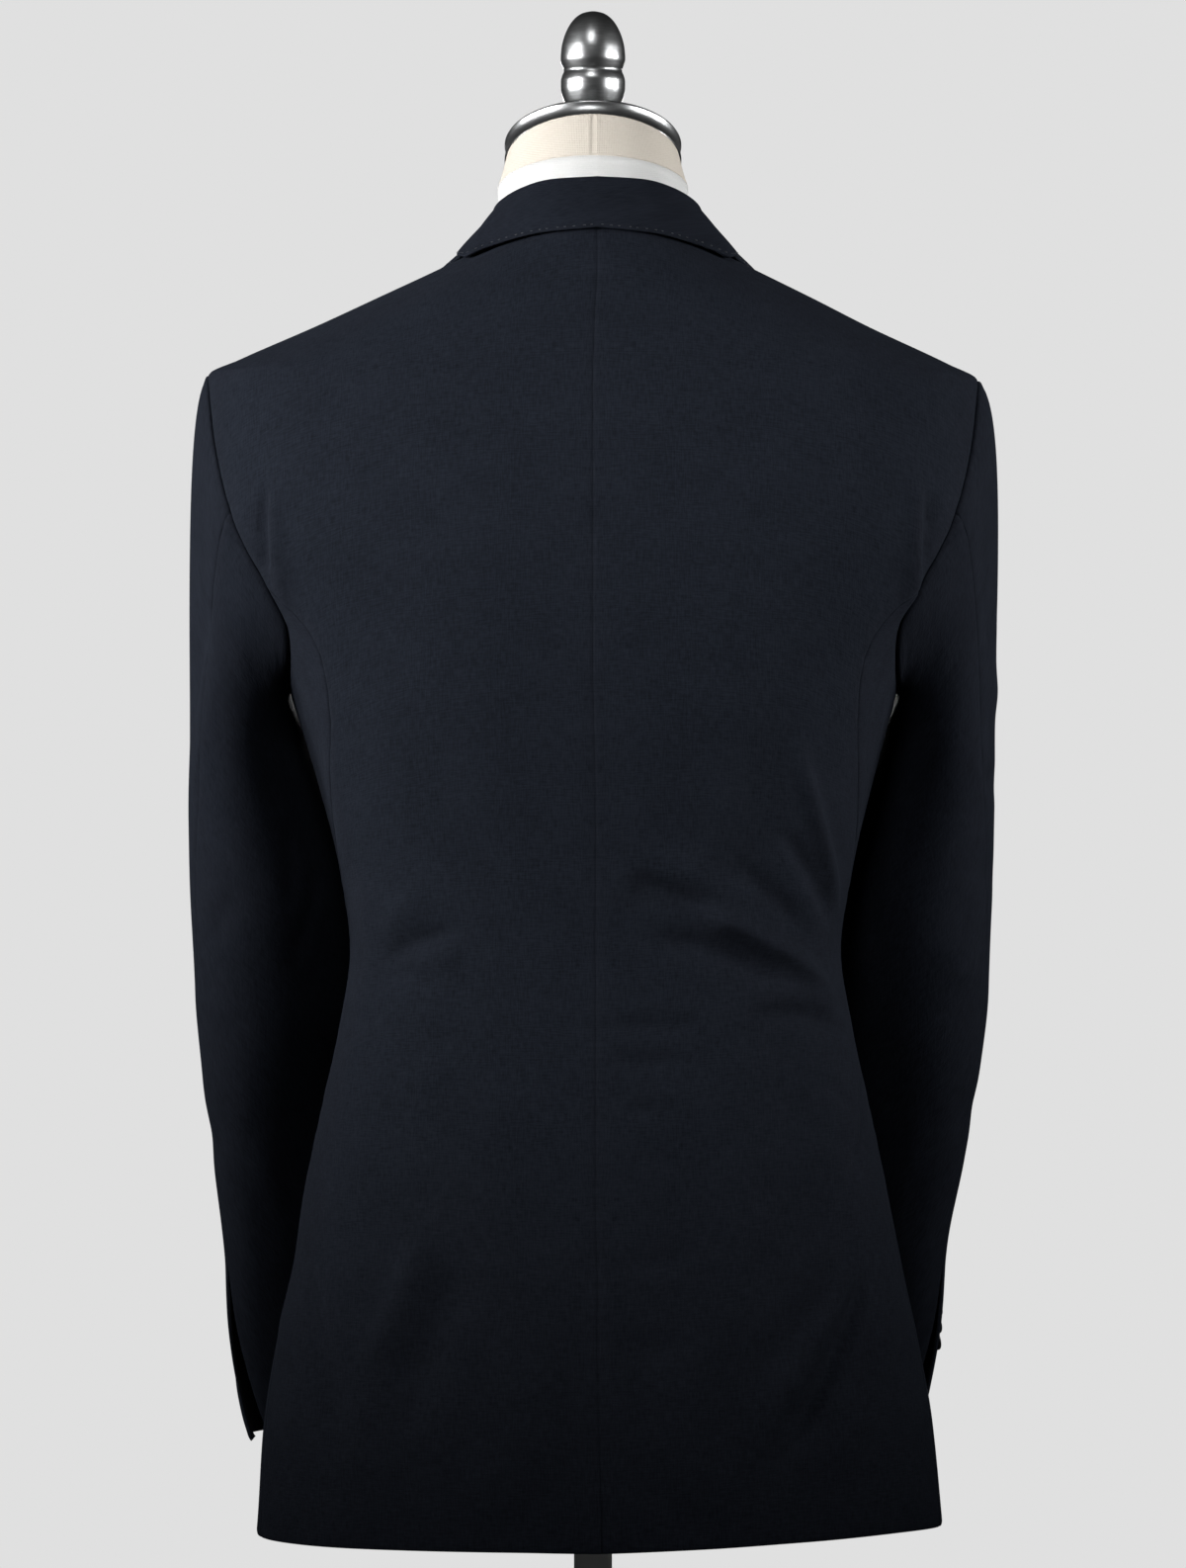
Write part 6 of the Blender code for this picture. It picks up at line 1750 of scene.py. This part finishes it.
@dataclass
class Buttons:
    """Turned horn buttons with a dished face and four holes, sewn on with crossed thread."""

    finishes: Finishes
    worked: Stitching
    hole_ends: tuple[float, float] = (-0.014, 0.008)
    rings: int = 40
    sides: int = 48
    hole_share: float = 0.2  # the holes' distance from the middle, radius and depth
    hole_radius: float = 0.102
    hole_depth: float = 0.55
    thread_radius: float = 0.00034

    def frame_at(self, normal: Array) -> Array:
        """Three axes with the last along `normal`, as rows."""
        normal = unit(np.asarray(normal, float))
        aside = unit(np.cross(np.array([0.0, 0.0, 1.0]), normal))
        return np.stack([aside, np.cross(normal, aside), normal])

    def build(self, name: str, place: Array, normal: Array, radius: float, thickness: float) -> Item:
        """One button: rings from the back's centre round the rim to the face's centre, holes sunk in.

        Args:
            name: the solid's name.
            place: middle of the button's back.
            normal: direction of its face.
            radius: its radius.
            thickness: its thickness at the rim.

        Returns:
            The button.
        """
        profile = np.array(BUTTON_PROFILE)
        run = run_along(profile, 0)
        at = np.linspace(0.0, run[-1], self.rings)
        reach = np.interp(at, run, profile[:, 0])[:, None] * radius
        level = np.interp(at, run, profile[:, 1])[:, None] * thickness
        turn = turn_steps(self.sides)
        x, y = reach * np.cos(turn), reach * np.sin(turn)
        hole = self.hole_share * radius
        away = np.minimum.reduce([np.hypot(x - a * hole, y - b * hole) for a in (-1, 1) for b in (-1, 1)])
        sunk = bell(away, self.hole_radius * radius) * (at[:, None] > run[BUTTON_DISH])
        z = level - sunk * thickness * self.hole_depth
        axes = self.frame_at(normal)
        points = place + np.stack([x, y, z], axis=-1) @ axes
        item = dress(ring_body(f"horn_{name}", points), (self.finishes.horn,), name)
        self.thread(name, place, axes, hole, thickness)
        return item

    def thread(self, name: str, place: Array, axes: Array, hole: float, thickness: float) -> Item:
        """Two crossed strands of thread over the holes, as arches of round section.

        Args:
            name: the button's name.
            place: middle of its back.
            axes: three axes as rows, the last along its face.
            hole: distance of the holes from the middle.
            thickness: thickness of the button.

        Returns:
            The thread.
        """
        t = np.linspace(0.0, 1.0, 13)[:, None]
        turn = turn_steps(8)
        shapes, faces = [], []
        for number, (a, b) in enumerate(((1.0, 1.0), (1.0, -1.0))):
            along = np.array([a, b, 0.0]) / math.sqrt(2.0)
            aside = np.array([-b, a, 0.0]) / math.sqrt(2.0)
            reach = (2.0 * t - 1.0) * hole * math.sqrt(2.0)
            top = thickness * 0.26 + number * self.thread_radius
            arch = thickness * 0.6 + top * np.sin(math.pi * t) ** 0.5
            thick = self.thread_radius * np.where((t == 0.0) | (t == 1.0), 1e-3, 1.0)
            ring = (along * reach[..., None] + aside * (thick * np.cos(turn))[..., None]
                    + np.array([0.0, 0.0, 1.0]) * (arch + thick * np.sin(turn))[..., None])
            shapes.append(ring.reshape(-1, 3))
            faces.append(grid_faces(*ring.shape[:2], closed=True, flip=True) + number * len(shapes[0]))
        item = mesh_object(f"thread_{name}", place + np.concatenate(shapes) @ axes, np.concatenate(faces))
        return dress(item, (self.finishes.thread,))

    def place_all(self) -> int:
        """Two closing buttons on the left front and four lapped buttons at each cuff."""
        for number, height in enumerate(FRONT_BUTTON_HEIGHTS, start=1):
            at = np.array([height])
            angle = BODY.angle_past_centre(Side.LEFT, np.array([0.0]), at)
            points, normals = front_point(Side.LEFT, angle, at, np.array([LAYER_GAP]))
            self.build(f"front_button_{number}", points[0], normals[0],
                       FRONT_BUTTON_RADIUS, FRONT_BUTTON_THICKNESS)
            ends = np.array(self.hole_ends)
            angles = BODY.angle_past_centre(Side.LEFT, ends, np.full(2, height))
            tips, facing = front_point(Side.LEFT, angles, np.full(2, height), np.zeros(2))
            self.worked.buttonhole(f"buttonhole_{number}", tips[0], tips[1], facing[0])
        for side in Side:
            for number in range(CUFF_BUTTON_COUNT):
                place, facing = self.cuff_place(side, CUFF_BUTTON_FIRST - number * CUFF_BUTTON_PITCH)
                self.build(f"cuff_button_{side.label}_{number + 1}", place, facing,
                           CUFF_BUTTON_RADIUS, CUFF_BUTTON_THICKNESS)
        return 2 + 2 * CUFF_BUTTON_COUNT

    @staticmethod
    def cuff_place(side: Side, height: float) -> tuple[Array, Array]:
        """Place and facing of a cuff button: beside the elbow seam, tipped so that each laps the next.

        Args:
            side: the wearer's side.
            height: metres over the hem.

        Returns:
            The place of the button's back and the direction of its face.
        """
        hanging = SLEEVE_RINGS[0][0] - SLEEVE_RINGS[-1][0]
        share = CAP_SHARE + (1.0 - CAP_SHARE) * (SLEEVE_RINGS[0][0] - height) / hanging
        turn = float(smooth(ELBOW_SEAM, 1, np.array(share))) - CUFF_BUTTON_TURN[side.value]
        here = sleeve_point(side, turn, share)
        here[0] += side.value * float(vent_flare(side, turn, share))
        along = unit(sleeve_point(side, turn, share + 0.01) - sleeve_point(side, turn, share - 0.01))
        around = unit(sleeve_point(side, turn + 1.0, share) - sleeve_point(side, turn - 1.0, share))
        normal = unit(np.cross(along, around))
        normal = normal * (1.0 if normal[0] * side.value > 0.0 else -1.0)
        tip = math.radians(CUFF_BUTTON_TILT)
        stand = CUFF_BUTTON_RADIUS * math.sin(tip) + CUFF_BUTTON_GAP
        return here + normal * stand, unit(normal * math.cos(tip) - along * math.sin(tip))


# ==== The dress form and the studio ====
def tilted_rings(sides: int, height: Array, half_x: Array, centre_y: Array, half_y: Array,
                 tilt: Array = 0.0, power: Array = NECK_POWER) -> Array:
    """Rings of points, superelliptic in plan, their planes tipped so that the back is higher.

    Args:
        sides: points in a ring.
        height: heights of the rings' middles, one per ring or one for all, as are the others.
        half_x: half widths.
        centre_y: y of the middles.
        half_y: half depths.
        tilt: tip of each plane in degrees.
        power: the superellipse's power.

    Returns:
        rings x sides x 3 points.
    """
    turn = turn_steps(sides)
    height, half_x, centre_y, half_y, tilt, power = (
        np.atleast_1d(np.asarray(value, float))[:, None]
        for value in (height, half_x, centre_y, half_y, tilt, power))
    x = half_x * signed_power(np.sin(turn), 2.0 / power)
    y = half_y * signed_power(np.cos(turn), 2.0 / power)
    level = height + y * np.tan(np.radians(tilt))
    return np.stack(np.broadcast_arrays(x, centre_y + y, level), axis=-1)


@dataclass
class DressForm:
    """The limbless form: torso, linen-covered neck, metal cap with its finial, post and base."""

    finishes: Finishes
    sides: int = 128
    torso_rings: int = 150
    neck_rings: int = 26
    finial_rings: int = 90
    torso_girth: float = 0.9  # widths over which the covers' ribs are laid out
    neck_girth: float = 0.34
    seam_depth: float = 0.0007
    seam_width: float = 0.0012
    cap_bead: float = 0.0005

    def layout(self, rings: Array, width: float) -> Array:
        """Cloth layout of a ring body: share of a turn times a width, and height."""
        share = np.linspace(-0.5, 0.5, rings.shape[1])
        return np.stack(np.broadcast_arrays(np.abs(share)[None, :] * width, rings[..., 2]), axis=-1)

    def torso(self) -> Item:
        """Torso in stretched jersey: the table's rings with smooth ones between."""
        height = np.linspace(TORSO_RINGS[0][0], TORSO_RINGS[-1][0], self.torso_rings)
        neck = within((height - ROUND_START) / ROUND_REACH)
        sizes = [smooth(TORSO_RINGS, column, height) for column in range(1, 5)]
        power = TORSO_POWER + (NECK_POWER - TORSO_POWER) * neck
        rings = closed_rings(tilted_rings(self.sides, height, *sizes, power))
        item = ring_body("jersey_torso", rings, self.layout(rings, self.torso_girth))
        return dress(item, (self.finishes.jersey,), "form_torso")

    def neck(self) -> Item:
        """Neck block covered in linen, with a sewn seam down its back."""
        top = TORSO_RINGS[-1]
        table = ((0.0, top[0] + FORM_GAP, top[1], top[4]),
                 (0.5, (top[0] + NECK_TOP_Z) / 2, NECK_MIDDLE_RADIUS, (top[4] + CAP_TILT) / 2),
                 (1.0, NECK_TOP_Z, NECK_TOP_RADIUS, CAP_TILT))
        share = np.linspace(0.0, 1.0, self.neck_rings)
        radius = smooth(table, 2, share)
        height, tilt = smooth(table, 1, share), smooth(table, 3, share)
        rings = tilted_rings(self.sides * 2, height, radius, 0.0, radius, tilt)
        away = np.abs(rings[..., 0]) + 10.0 * (rings[..., 1] < 0.0)
        inward = rings * np.array([1.0, 1.0, 0.0]) / radius[:, None, None]
        lips = bell(away - 1.8 * self.seam_width, self.seam_width) * 0.45
        rings = rings - inward * (self.seam_depth * (bell(away, self.seam_width * 0.8) - lips))[..., None]
        rings = closed_rings(rings)
        item = ring_body("linen_neck", rings, self.layout(rings, self.neck_girth))
        return dress(item, (self.finishes.linen,), "form_neck")

    def cap_and_finial(self) -> Item:
        """Tilted metal cap with two fine beads at its rims, and the turned finial on it."""
        foot = NECK_TOP_Z + FORM_GAP / math.cos(math.radians(CAP_TILT))
        tilt = math.radians(CAP_TILT)
        edge = CAP_EDGE
        rim = np.array(((-edge, 0.0), (-edge * 0.3, edge * 0.15), (0.0, edge * 0.6), (0.0, edge * 1.2),
                        (-self.cap_bead, edge * 1.6))) + (CAP_RADIUS, 0.0)
        upper = (rim * (1.0, -1.0) + (0.0, CAP_THICKNESS))[::-1]
        crown = ((CAP_RADIUS * 0.6, CAP_THICKNESS), (FINIAL_PROFILE[0][0] * 1.1, CAP_THICKNESS))
        section = np.concatenate([rim, upper, crown])
        radius, rise = section.T
        cap = tilted_rings(self.sides, foot + rise / math.cos(tilt), radius, -rise * math.sin(tilt),
                           radius * math.cos(tilt), CAP_TILT)
        run = run_along(np.array(FINIAL_PROFILE), 0)
        table = tuple((at, *pair) for at, pair in zip(run, FINIAL_PROFILE))
        at = np.linspace(0.0, run[-1], self.finial_rings)
        radius, rise = smooth(table, 1, at), smooth(table, 2, at)
        finial = tilted_rings(self.sides, FINIAL_FOOT_Z + rise, radius, 0.0, radius)
        item = ring_body("metal_cap_and_finial", closed_rings(np.concatenate([cap, finial])))
        return dress(item, (self.finishes.metal,), "form_cap_and_finial")

    def stand(self) -> Item:
        """Round post on a flat round base, its edges softened."""
        post_top = TORSO_RINGS[0][0] - FORM_GAP
        fillet = 2.0 * BASE_EDGE
        bend = np.linspace(0.0, 0.5 * math.pi, 9)
        across, up = 1.0 - np.cos(bend), 1.0 - np.sin(bend)
        foot = np.stack([POST_RADIUS + fillet * across, BASE_THICKNESS + fillet * up], axis=-1)
        rim = np.stack([BASE_RADIUS - BASE_EDGE * up, BASE_THICKNESS - BASE_EDGE * across], axis=-1)
        low = BASE_EDGE * 0.3
        under = (BASE_RADIUS, low), (BASE_RADIUS - low, 0.0)
        profile = np.array([(POST_RADIUS, post_top), *foot, *rim, *under])
        radius, height = profile[::-1].T
        rings = tilted_rings(self.sides, height, radius, 0.0, radius)
        item = ring_body("enamel_stand", closed_rings(rings))
        return dress(item, (self.finishes.enamel,), "form_stand")


@dataclass
class Studio:
    """Camera, pale floor and backdrop, and soft lights with narrowed beams all round."""

    grey: float = 0.7454
    camera_place: tuple[float, float, float] = (0.0, 4.0, 0.572)
    lens: float = 158.7
    floor_size: float = 12.0
    floor_near: float = 0.2
    floor_far: float = 0.9
    floor_share: float = 0.72  # share of even backdrop grey in the floor under the stand
    ambient: float = 0.01
    light_depth: float = 0.05
    light_distance: float = 2.2
    light_size: float = 0.7
    light_spread: float = 28.0
    # degrees from the back's direction towards the wearer's left, degrees up, height of the aim, power
    lights: tuple[tuple[str, float, float, float, float], ...] = (
        ("key", 58.0, 7.0, 0.8, 2.35), ("edge_left", 85.0, 5.0, 0.66, 1.28),
        ("right", -62.0, 7.0, 0.7, 1.08), ("edge_right", -88.0, 5.0, 0.72, 0.86),
        ("top", 8.0, 44.0, 0.52, 0.5), ("front_left", 176.0, 3.0, 0.6, 2.2),
        ("front_right", -176.0, 3.0, 0.6, 1.2))

    def camera(self) -> None:
        """Level camera behind the form, as the photograph was taken."""
        data = bpy.data.cameras.new("camera")
        data.lens = self.lens
        data.sensor_width = 36.0
        data.sensor_fit = "AUTO"
        item = bpy.data.objects.new("camera", data)
        item.location = self.camera_place
        item.rotation_euler = (math.radians(90.0), 0.0, math.radians(180.0))
        bpy.context.scene.collection.objects.link(item)
        bpy.context.scene.camera = item

    def soft_light(self, name: str, turn: float, lift: float, height: float, power: float) -> None:
        """A square soft light with a narrowed beam, turned from the back's side and aimed at a height.

        Args:
            name: name of the light.
            turn: degrees from the back's side towards the wearer's left.
            lift: degrees up.
            height: height of its aim over the floor.
            power: its power in watts.
        """
        data = bpy.data.lights.new(name, "AREA")
        data.shape = "SQUARE"
        data.size = self.light_size
        data.energy = power
        data.spread = math.radians(self.light_spread)
        item = bpy.data.objects.new(name, data)
        around, up = math.radians(turn), math.radians(lift)
        away = Vector((math.sin(around) * math.cos(up), math.cos(around) * math.cos(up), math.sin(up)))
        item.location = Vector((0.0, self.light_depth, height)) + self.light_distance * away
        item.rotation_euler = (-away).to_track_quat("-Z", "Y").to_euler()
        bpy.context.scene.collection.objects.link(item)

    def world(self) -> None:
        """Even grey seen directly, a dim one as light."""
        world = bpy.data.worlds.new("studio")
        world.use_nodes = True
        bpy.context.scene.world = world
        tree = world.node_tree
        output = tree.nodes["World Output"]
        shades = []
        for strength in (self.ambient, self.grey):
            shade = tree.nodes.new("ShaderNodeBackground")
            shade.inputs["Color"].default_value = (1.0, 1.0, 1.0, 1.0)
            shade.inputs["Strength"].default_value = strength
            shades.append(shade)
        path, mix = tree.nodes.new("ShaderNodeLightPath"), tree.nodes.new("ShaderNodeMixShader")
        tree.links.new(path.outputs["Is Camera Ray"], mix.inputs[0])
        tree.links.new(shades[0].outputs[0], mix.inputs[1])
        tree.links.new(shades[1].outputs[0], mix.inputs[2])
        tree.links.new(mix.outputs[0], output.inputs["Surface"])

    def floor(self) -> None:
        """Pale floor: matt round the base, passing into the backdrop's even grey farther out."""
        half = self.floor_size / 2.0
        corners = np.array([(-half, -half, 0.0), (half, -half, 0.0), (half, half, 0.0), (-half, half, 0.0)])
        item = mesh_object("floor", corners, np.array([[0, 1, 2, 3]]))
        graph = Graph("pale_floor")
        place = graph.object_place()
        graph.feed(graph.shader, {"Roughness": 0.9, "Base Color": (0.8, 0.8, 0.8, 1.0),
                                  "Specular IOR Level": 0.1})
        glow = graph.add("ShaderNodeEmission", {"Color": (1.0, 1.0, 1.0, 1.0), "Strength": self.grey})
        far = graph.add("ShaderNodeVectorMath", {0: place}, operation="LENGTH").outputs["Value"]
        share = graph.add("ShaderNodeMapRange", {"Value": far, "From Min": self.floor_near,
                                                 "From Max": self.floor_far, "To Min": self.floor_share},
                          interpolation_type="SMOOTHSTEP").outputs["Result"]
        mix = graph.add("ShaderNodeMixShader", {0: share, 1: graph.shader.outputs[0], 2: glow.outputs[0]})
        graph.tree.links.new(mix.outputs[0], graph.tree.nodes["Material Output"].inputs["Surface"])
        item.data.materials.append(graph.material)
        item.visible_diffuse = False
        item.visible_glossy = False

    def build(self) -> None:
        """Set the studio up."""
        bpy.context.scene.view_settings.view_transform = "Standard"
        self.camera()
        self.world()
        self.floor()
        for values in self.lights:
            self.soft_light(*values)


def triangles(item: Item) -> int:
    """Triangles of a piece with its modifiers on."""
    shape = item.evaluated_get(bpy.context.evaluated_depsgraph_get()).to_mesh()
    shape.calc_loop_triangles()
    return len(shape.loop_triangles)


def main() -> None:
    """Build every piece in order and report each one."""
    finishes = Finishes()
    panels, sleeves = BodyPanels(finishes), Sleeves(finishes)
    stitching = Stitching(finishes)
    worked = Stitching(finishes, pitch=0.0009, length=0.0013, radius=0.00036, sink=0.0)
    lapels, collar = Lapels(finishes, stitching, worked), Collar(finishes, stitching)
    form = DressForm(finishes)
    made = [form.torso(), form.neck(), form.cap_and_finial(), form.stand()]
    made.extend(Pockets(finishes).build())
    for side in Side:
        made.extend(lapels.build(side))
        made.extend([panels.back(side), panels.side_body(side), panels.front(side)])
        made.extend([sleeves.build(side, True), sleeves.build(side, False)])
    made.extend(collar.build())
    buttons = Buttons(finishes, worked).place_all()
    Studio().build()
    for item in made:
        log.info("%s: %d triangles", item.name, triangles(item))
    log.info("%d buttons", buttons)


if __name__ == "__main__":
    logging.basicConfig(level=logging.INFO, format="%(message)s")
    main()
